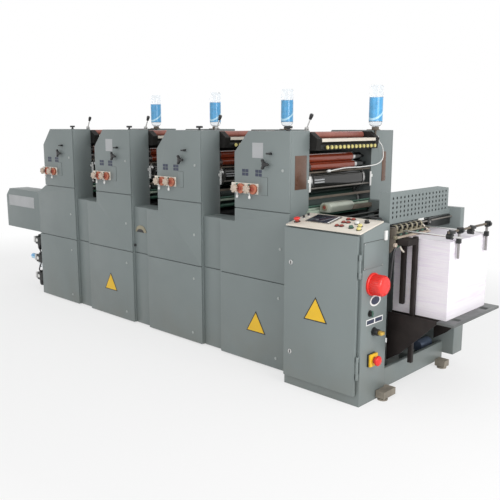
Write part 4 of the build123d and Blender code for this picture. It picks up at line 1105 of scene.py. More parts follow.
class PRESS_OT_tower_knobs(PressOperator, bpy.types.Operator):
    """T-knobs, three-armed knobs and the ink levers with their brackets"""

    bl_idname = "press.tower_knobs"
    bl_label = "Knobs and levers"

    # The T-knob on top of each tower
    top_setback = 0.055
    top_inset = 0.047
    stem_shape = ((0.013, 0), (0.013, 0.004), (0.008, 0.006), (0.008, 0.018))
    bar_half = 0.021
    bar_radius = 0.0105
    bar_span = (0.016, 0.031)
    # Knobs on the operator side: place from the tower's left edge and the floor; hubs as radius, how far
    # they stand out, finish and edge; and the arms' length, count and width
    side_knobs = (
        ((0.298, 1.386), ((0.009, (0, 0.024), "steel", 0.001), (0.016, (0.018, 0.038), "plastic", 0.003)),
         (0.038, 3, 0.0185)),
        ((0.335, 1.456), ((0.008, (0, 0.022), "plastic", 0.001),), (0.018, 2, 0.011)),
    )
    arm_out = (0.020, 0.036)
    # The ink lever's bracket, about the lever's pivot
    pivot_setback = 0.016
    pivot_rise = 0.016
    ear_radius = 0.010
    ear_reach = (0.0068, 0.011)
    nut_radius = 0.0062
    nut_reach = (0.010, 0.0143)
    pin_radius = 0.0038
    pin_half = 0.012
    base_half = (0.014, 0.0113)
    base_thickness = 0.003
    # The lever itself, upright about its pivot before it is tilted
    tilt = math.radians(25)
    hub_shape = ((0.0041, -0.006), (0.010, -0.006), (0.010, 0.006), (0.0041, 0.006))
    rod_shape = ((0.0045, 0.0075), (0.0045, 0.064))
    knob_shape = (
        (0.0070, 0.062), (0.0091, 0.063), (0.0100, 0.070), (0.0118, 0.080), (0.0129, 0.090),
        (0.0122, 0.096), (0.0096, 0.1003), (0.0055, 0.1018), (0.0012, 0.102),
    )

    def execute(self, context):
        knobs = Piece("tower_knobs_finished", FRAME_BODY, "black_plastic", ["tower_knobs"])
        for unit in UNITS:
            self.top_knob(knobs, tower_right(unit) - self.top_setback, OPERATOR_FRONT + self.top_inset)
            for (offset, z), hubs, arms in self.side_knobs:
                x = tower_left(unit) + offset
                for radius, out, finish, edge in hubs:
                    knobs.add(front_disc(x, z, radius, out), finish, edge)
                self.arms(knobs, x, z, *arms)
            self.bracket(knobs, unit)
            self.lever(unit)
        knobs.done()
        return {"FINISHED"}

    def top_knob(self, piece, x, y):
        piece.add(turned(placed(self.stem_shape, TOWER_TOP), Z, (x, y, 0), 20), "plastic")
        half, radius = self.bar_half, self.bar_radius
        bar = arc((x + half, y), radius, -90, 90, 8) + arc((x - half, y), radius, 90, 270, 8)
        piece.add(prism(bar, Z, *(TOWER_TOP + part for part in self.bar_span)), "plastic", 0.004)

    def arms(self, piece, x, z, length, count, width):
        """A flat knob's straight round-ended arms."""
        outline = arc((length - width / 2, 0), width / 2, -90, 90, 8) + [(0, width / 2), (0, -width / 2)]
        for arm in range(count):
            turn = Matrix.Translation((x, 0, z)) @ Matrix.Rotation(-2 * math.pi * arm / count, 4, "Y")
            piece.add(front_prism(outline, self.arm_out), "plastic", 0.003, turn=turn)

    def pivot(self, unit):
        y = middle(f"ink_lever_{unit}", Y)
        return Vector((tower_right(unit) - self.pivot_setback, y, TOWER_TOP + self.pivot_rise))

    def bracket(self, piece, unit):
        x, y, z = self.pivot(unit)
        r = self.ear_radius
        ear = [(x - r, TOWER_TOP), (x + r, TOWER_TOP), *arc((x, z), r, 0, 180, 12)]
        for side in (-1, 1):
            piece.add(prism(ear, Y, *reach(y, side, self.ear_reach)), "steel", 0.0008)
            piece.add(disc(Y, (x, 0, z), self.nut_radius, *reach(y, side, self.nut_reach), 6), "steel")
        piece.add(disc(Y, (x, 0, z), self.pin_radius, y - self.pin_half, y + self.pin_half, 16), "steel")
        a, b = self.base_half
        base = block(x - a, x + a, y - b, y + b, TOWER_TOP, TOWER_TOP + self.base_thickness)
        piece.add(base, "steel", 0.0008)

    def lever(self, unit):
        body = f"ink_lever_{unit}"
        turn = Matrix.Translation(self.pivot(unit)) @ Matrix.Rotation(self.tilt, 4, "Y")
        rod = Piece(f"ink_lever_rod_{unit}", body, "bright_steel", [body])
        rod.add(turned(self.hub_shape, Y, (0, 0, 0), 28), "steel", 0.0008, turn=turn)
        rod.add(turned(self.rod_shape, Z, (0, 0, 0), 18), "chrome", turn=turn)
        rod.done()
        knob = Piece(f"ink_lever_knob_{unit}", body, "black_plastic")
        knob.add(turned(self.knob_shape, Z, (0, 0, 0), 28), "plastic", turn=turn)
        knob.done()


class PRESS_OT_ink_units(PressOperator, bpy.types.Operator):
    """Ink keys on their scale rail, the bright duct blade and the bars round the cylinders"""

    bl_idname = "press.ink_units"
    bl_label = "Ink units"

    # Depths are from the right face of the unit's towers
    duct_half = 0.310
    rail_depth = 0.048
    rail_thickness = 0.004
    rail_half = 0.013
    key_height = 1.494
    key_shift = 0.014
    key_stem = (0.006, 0.020)
    key_rise = 0.018
    key_length = 0.010
    inner_share = 0.82
    mark_out = (0.003, 0.0046)
    mark_beside = (0.020, 0.026)
    mark_half = 0.012
    blade_thickness = 0.0015
    blade_back = -0.020
    blade_lip = 0.062
    blade_top = 1.5495
    blade_bottom = 1.529
    rods = (
        (-0.013, 1.222, 0.0055, "oily"), (-0.012, 1.328, 0.006, "iron"),
        (-0.010, 1.104, 0.006, "green"), (-0.024, 1.040, 0.014, "green"),
    )
    flats = ((-0.010, -0.002, 1.152, 1.168, "iron"), (-0.012, -0.003, 1.079, 1.094, "pale"))
    plate_bands = ((-4, 2), (7, 13))
    band_reach = (-0.276, -0.168)
    band_depths = (0.0006, -0.0004)
    # The fountain pipe, as Y and Z of its line, and its fittings: radius, start and end along Y
    pipe_depth = 0.044
    pipe_radius = 0.0042
    pipe_run = (
        (0.400, 1.560), (0.412, 1.524), (0.450, 1.492), (0.469, 1.458), (0.473, 1.407), (0.450, 1.378),
        (0.422, 1.366), (0.358, 1.354), (0.182, 1.348), (0.003, 1.349), (-0.166, 1.337),
    )
    pipe_nut = (0.009, -0.190, -0.164)
    pipe_tip = (0.005, -0.204, -0.188)
    clip_places = (0.182, 0.003)
    clip_ends = ((0.044, 1.3485), (-0.012, 1.328))
    clip_radius = 0.0022

    def execute(self, context):
        sizes = context.scene.press_sizes
        first = CENTRE_LINE + self.key_shift - (sizes.key_count - 1) * sizes.key_pitch / 2
        rail = Piece("ink_key_rails", FRAME_BODY, "black_plastic", ["ink_keys"])
        blade = Piece("duct_blades", FRAME_BODY, "cream_panel")
        bars = Piece("unit_bars", FRAME_BODY, "bright_steel")
        key_ways = [first + place * sizes.key_pitch for place in range(sizes.key_count)]
        places = []
        for unit in UNITS:
            right = tower_right(unit)
            face = right + self.rail_depth
            self.rail(rail, face, key_ways)
            places.append(((face + self.key_rise, first, self.key_height), (0, 0, 1)))
            self.blade(blade, right)
            self.bars(bars, right)
            self.plate_label(unit)
        for piece in (rail, blade, bars):
            piece.done()
        self.pipe()
        values = {
            "Count": sizes.key_count,
            "Pitch": (0, sizes.key_pitch, 0),
            "Radius": sizes.key_radius,
            "Inner radius": sizes.key_radius * self.inner_share,
            "Head length": (0, 0, self.key_length),
        }
        grow("ink_key_heads", key_tree(), spots("key_rows", places), values, "key", FRAME_BODY)
        return {"FINISHED"}

    def rail(self, piece, face, key_ways):
        """The scale rail with a stem and a mark for each key."""
        z, half = self.key_height, self.rail_half
        near, far = CENTRE_LINE - self.duct_half, CENTRE_LINE + self.duct_half
        piece.add(block(face, face + self.rail_thickness, near, far, z - half, z + half), "casting", 0.0008)
        radius, length = self.key_stem
        for y in key_ways:
            piece.add(disc(X, (0, y, z), radius, face, face + length, 14), "plastic")
            across_mark = [y + part for part in self.mark_beside]
            out = [face + part for part in self.mark_out]
            piece.add(block(*out, *across_mark, z - self.mark_half, z + self.mark_half), "label")

    def blade(self, piece, right):
        near, far = CENTRE_LINE - self.duct_half, CENTRE_LINE + self.duct_half
        lip, thin, top = right + self.blade_lip, self.blade_thickness, self.blade_top
        piece.add(block(right + self.blade_back, lip + thin, near, far, top - thin, top), "cream", 0.0004, 1)
        piece.add(block(lip, lip + thin, near, far, self.blade_bottom, top), "cream", 0.0004, 1)

    def bars(self, piece, right):
        """Guard rods and flat bars in front of the cylinders."""
        for depth, z, radius, finish in self.rods:
            x = right + depth
            piece.add(swept(((x, OPERATOR_INNER, z), (x, DRIVE_INNER, z)), radius, 14), finish)
        for start, end, z0, z1, finish in self.flats:
            piece.add(block(right + start, right + end, OPERATOR_INNER, DRIVE_INNER, z0, z1), finish, 0.001)

    def plate_label(self, unit):
        """Two plain grey bands round the front of the plate."""
        node = f"plate_cylinder_{unit}"
        centre = (middle(node, X), middle(node, Z))
        over, under = (PLATE_RADIUS + depth for depth in self.band_depths)
        patch = Piece(f"plate_patch_{unit}", node, "bright_steel")
        for start, end in self.plate_bands:
            outline = arc(centre, over, start, end, 4) + arc(centre, under, end, start, 4)
            patch.add(prism(outline, Y, *(CENTRE_LINE + part for part in self.band_reach)), "label")
        patch.done()

    def pipe(self):
        """The white pipe that leads from the last bottle across the front of its unit."""
        right = tower_right(UNITS[-1])
        x = right + self.pipe_depth
        end = self.pipe_run[-1][1]
        pipe = Piece("fountain_pipe", FRAME_BODY, "bright_steel")
        line = rounded_line([(x, y, z) for y, z in self.pipe_run])
        pipe.add(swept(line, self.pipe_radius, 12), "white")
        pipe.add(disc(Y, (x, 0, end), *self.pipe_nut, 20), "white", 0.002)
        pipe.add(disc(Y, (x, 0, end), *self.pipe_tip, 14), "steel", 0.001)
        for y in self.clip_places:
            clip = [(right + depth, y, z) for depth, z in self.clip_ends]
            pipe.add(swept(clip, self.clip_radius, 8), "casting")
        pipe.done()


class PRESS_OT_wash_up_box(PressOperator, bpy.types.Operator):
    """The wash-up box on its bar at the open end of the last unit"""

    bl_idname = "press.wash_up_box"
    bl_label = "Wash-up box"

    bar_size = 0.030
    near_gap = 0.076
    length = 0.260
    width = 0.082
    rise = 0.016
    lean = 0.0205
    ring_shift = (0.004, 0.002)
    ring_radius = 0.022
    # The ring as shares of its radius and distances out from the box's end
    ring_shape = ((1, -0.004), (1, 0.006), (0.9, 0.008), (0.62, 0.008), (0.58, 0.003), (1 / 11, 0.003))
    middle_share = 0.5
    middle_out = (0.002, 0.005)

    def execute(self, context):
        corner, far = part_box("wash_up_box")
        near = OPERATOR_INNER + self.near_gap
        end = near + self.length
        left = corner.x + self.bar_size
        right = left + self.width
        base, top = corner.z + self.rise, far.z
        lean = self.lean
        outline = [
            (left, base), (right, base), (right + lean, top - lean),
            (right, top), (left + lean, top), (left, top - lean),
        ]
        bar_top = corner.z + self.bar_size
        washer = Piece("wash_up_box_finished", FRAME_BODY, "housing_paint", ["wash_up_box"])
        washer.add(block(corner.x, left, corner.y, end, corner.z, bar_top), "pale", 0.002)
        washer.add(block(corner.x, left, end, far.y, corner.z, bar_top), "iron", 0.002)
        washer.add(prism(outline, Y, near, end), "washer", 0.008, 3)
        x = (left + right) / 2 + self.ring_shift[0]
        z = (base + top) / 2 + self.ring_shift[1]
        r = self.ring_radius
        ring = placed([(r * share, out) for share, out in self.ring_shape], near, -1)
        washer.add(turned(ring, Y, (x, 0, z), 32), "finger")
        washer.add(front_disc(x, z, r * self.middle_share, self.middle_out, 20, near), "dim_red", 0.001)
        washer.done()
        return {"FINISHED"}


class PRESS_OT_bottles(PressOperator, bpy.types.Operator):
    """Clear bottles of fountain solution, upside down in their cups"""

    bl_idname = "press.bottles"
    bl_label = "Bottles"

    overhang = 0.005
    radius = 0.049
    neck = 0.016
    # Shapes as shares of the neck's or the bottle's radius and heights from the bottle's foot
    neck_shape = ((1, 0), (1, 0.012), (1.18, 0.0135), (1.18, 0.0165), (1, 0.018), (1, 0.020))
    base_shape = ((1, 0.298), (0.94, 0.307), (0.80, 0.3125), (0.3, 0.307), (0.06, 0.305))
    shoulder_rise = 0.036
    grooves = 6
    first_groove = 0.230
    groove_pitch = 0.010
    groove_shape = ((1, 0), (0.975, 0.004), (1, 0.008))
    band_heights = (0.057, 0.110, 0.170, 0.224)
    band_over = 0.0006
    band_under = -0.0003
    cap_shape = ((0.0100, -0.0002), (0.0178, 0), (0.0178, 0.0115), (0.0165, 0.0125))

    def outer(self):
        """The bottle from its neck up, as (radius, height) pairs."""
        r, n = self.radius, self.neck
        points = [(n * share, z) for share, z in self.neck_shape]
        neck_top = points[-1][1]
        for step in range(1, 9):
            turn = math.pi * step / 16
            height = neck_top + self.shoulder_rise * (1 - math.cos(turn))
            points.append((n + (r - n) * math.sin(turn), height))
        for groove in range(self.grooves):
            start = self.first_groove + groove * self.groove_pitch
            points += [(r * share, start + z) for share, z in self.groove_shape]
        return points + [(r * share, z) for share, z in self.base_shape]

    def execute(self, context):
        bottom = low("water_bottles", Z)
        y = middle("water_bottles", Y)
        bottles = Piece("water_bottles_clear", FRAME_BODY, "bottle_plastic", ["water_bottles"])
        bands = Piece("bottle_bands", FRAME_BODY, "bottle_plastic")
        caps = Piece("bottle_caps", FRAME_BODY, "key_plastic")
        over = [(self.radius + self.band_over, z) for z in self.band_heights]
        under = [(self.radius + self.band_under, z) for z in reversed(self.band_heights)]
        for unit in UNITS:
            centre = (tower_right(unit) + self.overhang, y, 0)
            bottles.add(turned(placed(self.outer(), bottom), Z, centre, 36), "clear")
            bands.add(turned(placed(over + under + over[:1], bottom), Z, centre, 36), "band")
            caps.add(turned(placed(self.cap_shape, bottom), Z, centre, 24), "white")
        for piece in (bottles, bands, caps):
            piece.done()
        return {"FINISHED"}


class PRESS_OT_feeder(PressOperator, bpy.types.Operator):
    """The feeder's bare plate and its stack of air valves, hoses and gauge"""

    bl_idname = "press.feeder"
    bl_label = "Feeder fittings"

    plate_reach = (0.060, 0.560)
    plate_span = (0.834, 0.940)
    plate_depth = 0.002
    screw_inset = 0.012
    screw_radius = 0.004
    screw_out = (0.002, 0.0035)
    # The valves, each from its left face and its foot
    valve_count = 3
    gauge_valve = 1
    valve_left = 0.088
    valve_foot = -0.0245
    valve_height = 0.076
    back_thickness = 0.010
    back_near = 0.009
    neck_start = 0.040
    cheek = (0.046, 0.006, 0.008)
    bowl_shape = (
        (0.004, -0.062), (0.017, -0.059), (0.025, -0.048), (0.027, -0.034), (0.027, -0.012),
        (0.030, -0.010), (0.030, 0.002),
    )
    cap_shape = ((0.020, -0.002), (0.020, 0.014), (0.003, 0.018))
    dial_radius = 0.017
    dial_out = (-0.001, 0.004)
    gauge_radius = 0.026
    glass_radius = 0.021
    knob_shape = ((0.008, -0.001), (0.008, 0.008), (0.014, 0.010), (0.014, 0.030), (0.010, 0.032))
    hose_radius = 0.0065
    hose_rise = 0.050
    hose_ends = (
        ((-0.060, 0.008, 0), (-0.064, -0.002, 0.036)),
        ((-0.060, 0.030, 0), (-0.064, 0.020, 0.036)),
    )
    hose_tail = ((-0.060, 0.008, 0.070), (-0.050, 0.016, 0.108))

    def execute(self, context):
        left = low("feeder_side_boxes", X)
        plate = Piece("feeder_plate")
        x0, x1 = (left + part for part in self.plate_reach)
        z0, z1 = self.plate_span
        plate.add(front_block(x0, x1, z0, z1, (0, self.plate_depth)), "label", 0.0008)
        inset = self.screw_inset
        for x in (x0 + inset, x1 - inset):
            for z in (z0 + inset, z1 - inset):
                plate.add(front_disc(x, z, self.screw_radius, self.screw_out, 14), "steel", 0.0005)
        plate.done()
        self.valves()
        return {"FINISHED"}

    def valves(self):
        """Valve blocks over their bowls on a back plate, with short hoses from one to the next."""
        corner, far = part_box("feeder_air_unit")
        rig = Piece("air_valves", FRAME_BODY, "black_metal", ["feeder_air_unit"])
        back = far.x - self.back_thickness
        rig.add(block(back, far.x, corner.y + self.back_near, far.y, corner.z, far.z), "casting", 0.001)
        pitch = (far.z - corner.z) / self.valve_count
        for place in range(self.valve_count):
            centre = corner.z + pitch * (place + 0.5)
            self.valve(rig, corner, far, centre + self.valve_foot, place == self.gauge_valve)
        for place, start in enumerate(self.hose_ends):
            base = Vector((far.x, corner.y, corner.z + pitch * (place + 0.5) + self.hose_rise))
            route = [base + Vector(point) for point in (*start, *self.hose_tail)]
            rig.add(swept(rounded_line(route), self.hose_radius, 12), "plastic")
        rig.done()

    def valve(self, rig, corner, far, z0, gauge):
        """One valve, with a gauge on its left face or else a hand knob."""
        left, back = corner.x + self.valve_left, far.x - self.back_thickness
        z1 = z0 + self.valve_height
        x, y, z = (left + back) / 2, (corner.y + far.y) / 2, (z0 + z1) / 2
        rig.add(block(left + self.neck_start, back + 0.001, corner.y, far.y, z0, z1), "casting", 0.004)
        depth, side, rim = self.cheek
        cheek = block(left, left + depth, corner.y + side, far.y - side, z0 + rim, z1 - rim)
        rig.add(cheek, "steel", 0.003)
        rig.add(turned(placed(self.bowl_shape, z0), Z, (x, y, 0), 28), "clear" if gauge else "plastic")
        rig.add(turned(placed(self.cap_shape, z1), Z, (x, y, 0), 24), "plastic")
        rig.add(front_disc(x, z, self.dial_radius, self.dial_out, front=corner.y), "white", 0.001)
        if gauge:
            rig.add(disc(X, (0, y, z), self.gauge_radius, left + 0.001, corner.x + 0.004, 32), "band", 0.003)
            rig.add(disc(X, (0, y, z), self.glass_radius, corner.x + 0.005, corner.x, 32), "white", 0.001)
        else:
            rig.add(turned(placed(self.knob_shape, left, -1), X, (0, y, z), 24), "plastic")


class PRESS_OT_console(PressOperator, bpy.types.Operator):
    """The console's screen, buttons, locks, lamp and side switches"""

    bl_idname = "press.console"
    bl_label = "Console controls"

    front_top = 1.032
    back_top = 1.080
    shelf = 0.055
    panel_thickness = 0.008
    left_inset = 0.020
    right_inset = 0.006
    # On the panel, places are shares of its width and depth, and heights are from its face
    screen_place = (0.33, 0.61)
    screen_blocks = (
        ((-0.093, 0.093), (-0.070, 0.070), (-0.001, 0.0065), "plastic", 0.002),
        ((-0.084, 0.070), (-0.061, 0.061), (0.003, 0.0072), "screen", 0.0008),
        ((0.072, 0.084), (-0.061, 0.061), (0.003, 0.0072), "white", 0.0008),
    )
    red_button_places = ((0.61, 0.30), (0.665, 0.32), (0.61, 0.58), (0.665, 0.60), (0.60, 0.82), (0.66, 0.84))
    red_button_size = (0.012, 0.010)
    buttons = (
        ((0.80, 0.28), "green", 0.016), ((0.78, 0.60), "white", 0.016), ((0.865, 0.44), "key", 0.016),
        ((0.915, 0.22), "key", 0.016), ((0.862, 0.74), "plastic", 0.018),
    )
    button_radius = 0.013
    collar = 0.004
    stop_place = (0.08, 0.25)
    stop_shape = (
        (0.012, 0.017), (0.019, 0.018), (0.020, 0.022), (0.018, 0.027), (0.012, 0.0296), (0.002, 0.030),
    )
    # Two switches and the stop button's base: places, then radius, heights, finish, edge and sides
    panel_rounds = (
        (((0.063, 0.57), (0.066, 0.76)),
         ((0.010, (-0.001, 0.004), "steel", 0.001, 20), (0.008, (0.002, 0.018), "plastic", 0.002, 20))),
        ((stop_place,),
         ((0.020, (-0.001, 0.004), "plastic", 0.001), (0.013, (0.003, 0.020), "dim_red", 0.001))),
    )
    # The bow handle on the shelf behind the panel: its place in from the cabinet's right and back and down
    # from its top, and its line beside and above that
    handle_place = (0.080, 0.030, 0.007)
    handle_shape = (
        (-0.042, -0.004), (-0.042, 0.016), (-0.034, 0.023), (0.034, 0.023), (0.042, 0.016), (0.042, -0.004),
    )
    handle_radius = 0.006
    lock_offset = 0.066
    lock_heights = (0.807, 0.233)
    lock_radius = 0.015
    lock_out = (0, 0.003)
    slot_half = (0.003, 0.010)
    slot_out = (0.002, 0.0042)
    # On the console's side: how far out, how far along from the front, heights, finish and edge
    side_blocks = {
        "hatch line": ((0, 0.001), (0.026, 0.227), (0.826, 0.984), "plastic", 0),
        "hatch": ((0, 0.005), (0.028, 0.225), (0.828, 0.982), "paint", 0.0015),
        "hatch panel": ((0.004, 0.0055), (0.040, 0.213), (0.840, 0.970), "paint", 0.0006),
        "key tab": ((0.010, 0.024), (0.105, 0.115), (0.539, 0.575), "green", 0.002),
        "bare plate": ((0, 0.0012), (0.076, 0.250), (0.486, 0.522), "white", 0),
        "left field": ((0.001, 0.002), (0.082, 0.156), (0.492, 0.516), "blue", 0),
        "right field": ((0.001, 0.002), (0.168, 0.242), (0.492, 0.516), "blue", 0),
        "selector bar": ((0.046, 0.068), (0.140, 0.174), (0.428, 0.448), "brass", 0.002),
        "stop back": ((0, 0.012), (0.097, 0.177), (0.232, 0.310), "plastic", 0.003),
        "stop box": ((0.011, 0.026), (0.098, 0.176), (0.233, 0.309), "yellow", 0.004),
        "clip": ((0, 0.012), (0.232, 0.258), (0.975, 1.032), "white", 0.003),
    }
    # Rounds there: along and up, radius, how far out, sides, finish and edge
    side_rounds = (
        ((0.110, 0.557), 0.020, (0, 0.004), 28, "casting", 0.001),
        ((0.110, 0.557), 0.014, (0.003, 0.020), 28, "casting", 0.002),
        ((0.157, 0.438), 0.026, (0, 0.006), 28, "casting", 0.001),
        ((0.157, 0.438), 0.021, (0.004, 0.038), 28, "plastic", 0.002),
        ((0.157, 0.438), 0.013, (0.036, 0.056), 20, "brass", 0.001),
        ((0.137, 0.272), 0.020, (0.024, 0.046), 28, "dim_red", 0.002),
        *(((y, z), 0.0035, (0.004, 0.0065), 12, "steel", 0) for y in (0.034, 0.219) for z in (0.834, 0.976)),
    )
    oval_place = (0.164, 0.626)
    ovals = (((0.056, 0.034), (0, 0.0012), "white"), ((0.043, 0.024), (0.001, 0.002), "blue"))
    side_stop_place = (0.137, 0.272)
    side_stop_shape = (
        (0.020, 0.042), (0.029, 0.044), (0.031, 0.050), (0.029, 0.058), (0.020, 0.0645), (0.002, 0.066),
    )
    # The lamp: radius beyond its lens and distance from its foot, or from its end
    flange = 0.006
    foot_shape = ((0.006, 0), (0.006, 0.010), (0.002, 0.014))
    lens_start = (-0.003, 0.010)
    lens_end_shape = ((-0.003, -0.016), (-0.006, -0.007), (-0.014, -0.001), (-0.030, 0))
    lens_middle_share = 0.2
    rib_count = 30
    rib_sink = 0.0028
    rib_margin = 0.030
    rib_shift = 0.001

    def execute(self, context):
        self.panel()
        self.handle()
        self.door_locks()
        self.side()
        self.lamp()
        return {"FINISHED"}

    def panel_matrix(self):
        """The sloping panel's frame: x along the press from its left edge, y up the slope, z out of it."""
        along = Vector((1, 0, 0))
        run = CONSOLE_BACK - self.shelf - CONSOLE_FRONT
        slope = Vector((0, run, self.back_top - self.front_top)).normalized()
        normal = along.cross(slope)
        corner = Vector((CONSOLE_LEFT + self.left_inset, CONSOLE_FRONT, self.front_top))
        turn = Matrix((along, slope, normal)).transposed().to_4x4()
        return Matrix.Translation(corner + normal * self.panel_thickness) @ turn

    def panel(self):
        turn = self.panel_matrix()
        width = CONSOLE_RIGHT - CONSOLE_LEFT - self.left_inset - self.right_inset
        depth = math.hypot(CONSOLE_BACK - self.shelf - CONSOLE_FRONT, self.back_top - self.front_top)
        top = Piece("panel_controls_finished", FRAME_BODY, "black_plastic", ["panel_controls"])

        def spot(place):
            return place[0] * width, place[1] * depth, 0

        def add_round(place, radius, heights, finish, edge, sides=28):
            top.add(disc(Z, spot(place), radius, *heights, sides), finish, edge, turn=turn)

        for *spans, finish, edge in self.screen_blocks:
            top.add(block_at(spot(self.screen_place), *spans), finish, edge, turn=turn)
        radius, rise = self.red_button_size
        red = [(place, "dim_red", radius, rise) for place in self.red_button_places]
        others = [(place, finish, self.button_radius, rise) for place, finish, rise in self.buttons]
        for place, finish, radius, rise in red + others:
            add_round(place, radius + self.collar, (-0.001, 0.003), "plastic", 0.001)
            add_round(place, radius, (0.002, rise), finish, 0.003)
        for places, rounds in self.panel_rounds:
            for place in places:
                for values in rounds:
                    add_round(place, *values)
        top.add(turned(self.stop_shape, Z, spot(self.stop_place), 32), "red", turn=turn)
        top.done()

    def handle(self):
        """The black bow handle on the shelf behind the panel."""
        right, back, down = self.handle_place
        x, y = CONSOLE_RIGHT - right, CONSOLE_BACK - back
        z = high("console_cabinet", Z) - down
        handle = Piece("shelf_handle", FRAME_BODY, "black_plastic")
        bow = [(x + beside, y, z + above) for beside, above in self.handle_shape]
        handle.add(swept(bow, self.handle_radius, 14), "plastic")
        handle.done()

    def door_locks(self):
        locks = Piece("door_locks", "console_door", "bright_steel")
        x = CONSOLE_LEFT + self.lock_offset
        a, b = self.slot_half
        for z in self.lock_heights:
            locks.add(front_disc(x, z, self.lock_radius, self.lock_out, front=CONSOLE_FRONT), "steel", 0.001)
            # Each slot is a black block on the lock: painted shade for the keyway
            locks.add(front_block(x - a, x + a, z - b, z + b, self.slot_out, CONSOLE_FRONT), "plastic")
        locks.done()

    def side(self):
        """The hatch, switches, bare plates and stop button on the console's side."""
        x, front = CONSOLE_RIGHT, CONSOLE_FRONT
        side = Piece("side_controls_finished", FRAME_BODY, "black_plastic", ["side_controls"])
        for *spans, finish, edge in self.side_blocks.values():
            side.add(block_at((x, front, 0), *spans), finish, edge)
        for (along, z), radius, (start, end), sides, finish, edge in self.side_rounds:
            side.add(disc(X, (0, front + along, z), radius, x + start, x + end, sides), finish, edge)
        y, z = front + self.oval_place[0], self.oval_place[1]
        for (wide, tall), (start, end), finish in self.ovals:
            turns = [2 * math.pi * step / 36 for step in range(36)]
            outline = [(y + wide * math.cos(a), z + tall * math.sin(a)) for a in turns]
            side.add(prism(outline, X, x + start, x + end), finish)
        along, z = self.side_stop_place
        side.add(turned(placed(self.side_stop_shape, x), X, (0, front + along, z), 32), "red")
        side.done()

    def lamp(self):
        """The round lamp with its flange and the ribs in its lens."""
        corner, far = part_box("beacon_lamp")
        x0, x1 = corner.x, far.x
        y, z = (corner.y + far.y) / 2, (corner.z + far.z) / 2
        radius = (far.z - corner.z) / 2 - self.flange
        lamp = Piece("beacon_finished", FRAME_BODY, "beacon_red", ["beacon_lamp"])
        foot = [(radius + more, x0 + out) for more, out in self.foot_shape]
        lamp.add(turned(foot, X, (0, y, z), 48), "red")
        less, start = self.lens_start
        shell = [(radius + less, x0 + start)]
        shell += [(radius + less, x1 + out) for less, out in self.lens_end_shape]
        shell.append((radius * self.lens_middle_share, x1))
        lamp.add(turned(shell, X, (0, y, z), 48), "lens")
        lamp.done()
        length = x1 - x0 - self.rib_margin
        values = {"Count": self.rib_count, "Radius": radius - self.rib_sink, "Size": (1, 1, length)}
        base = spots("lens_centre", [(((x0 + x1) / 2 - self.rib_shift, y, z), (1, 0, 0))])
        grow("beacon_ribs", rib_tree(), base, values, "lens", FRAME_BODY)


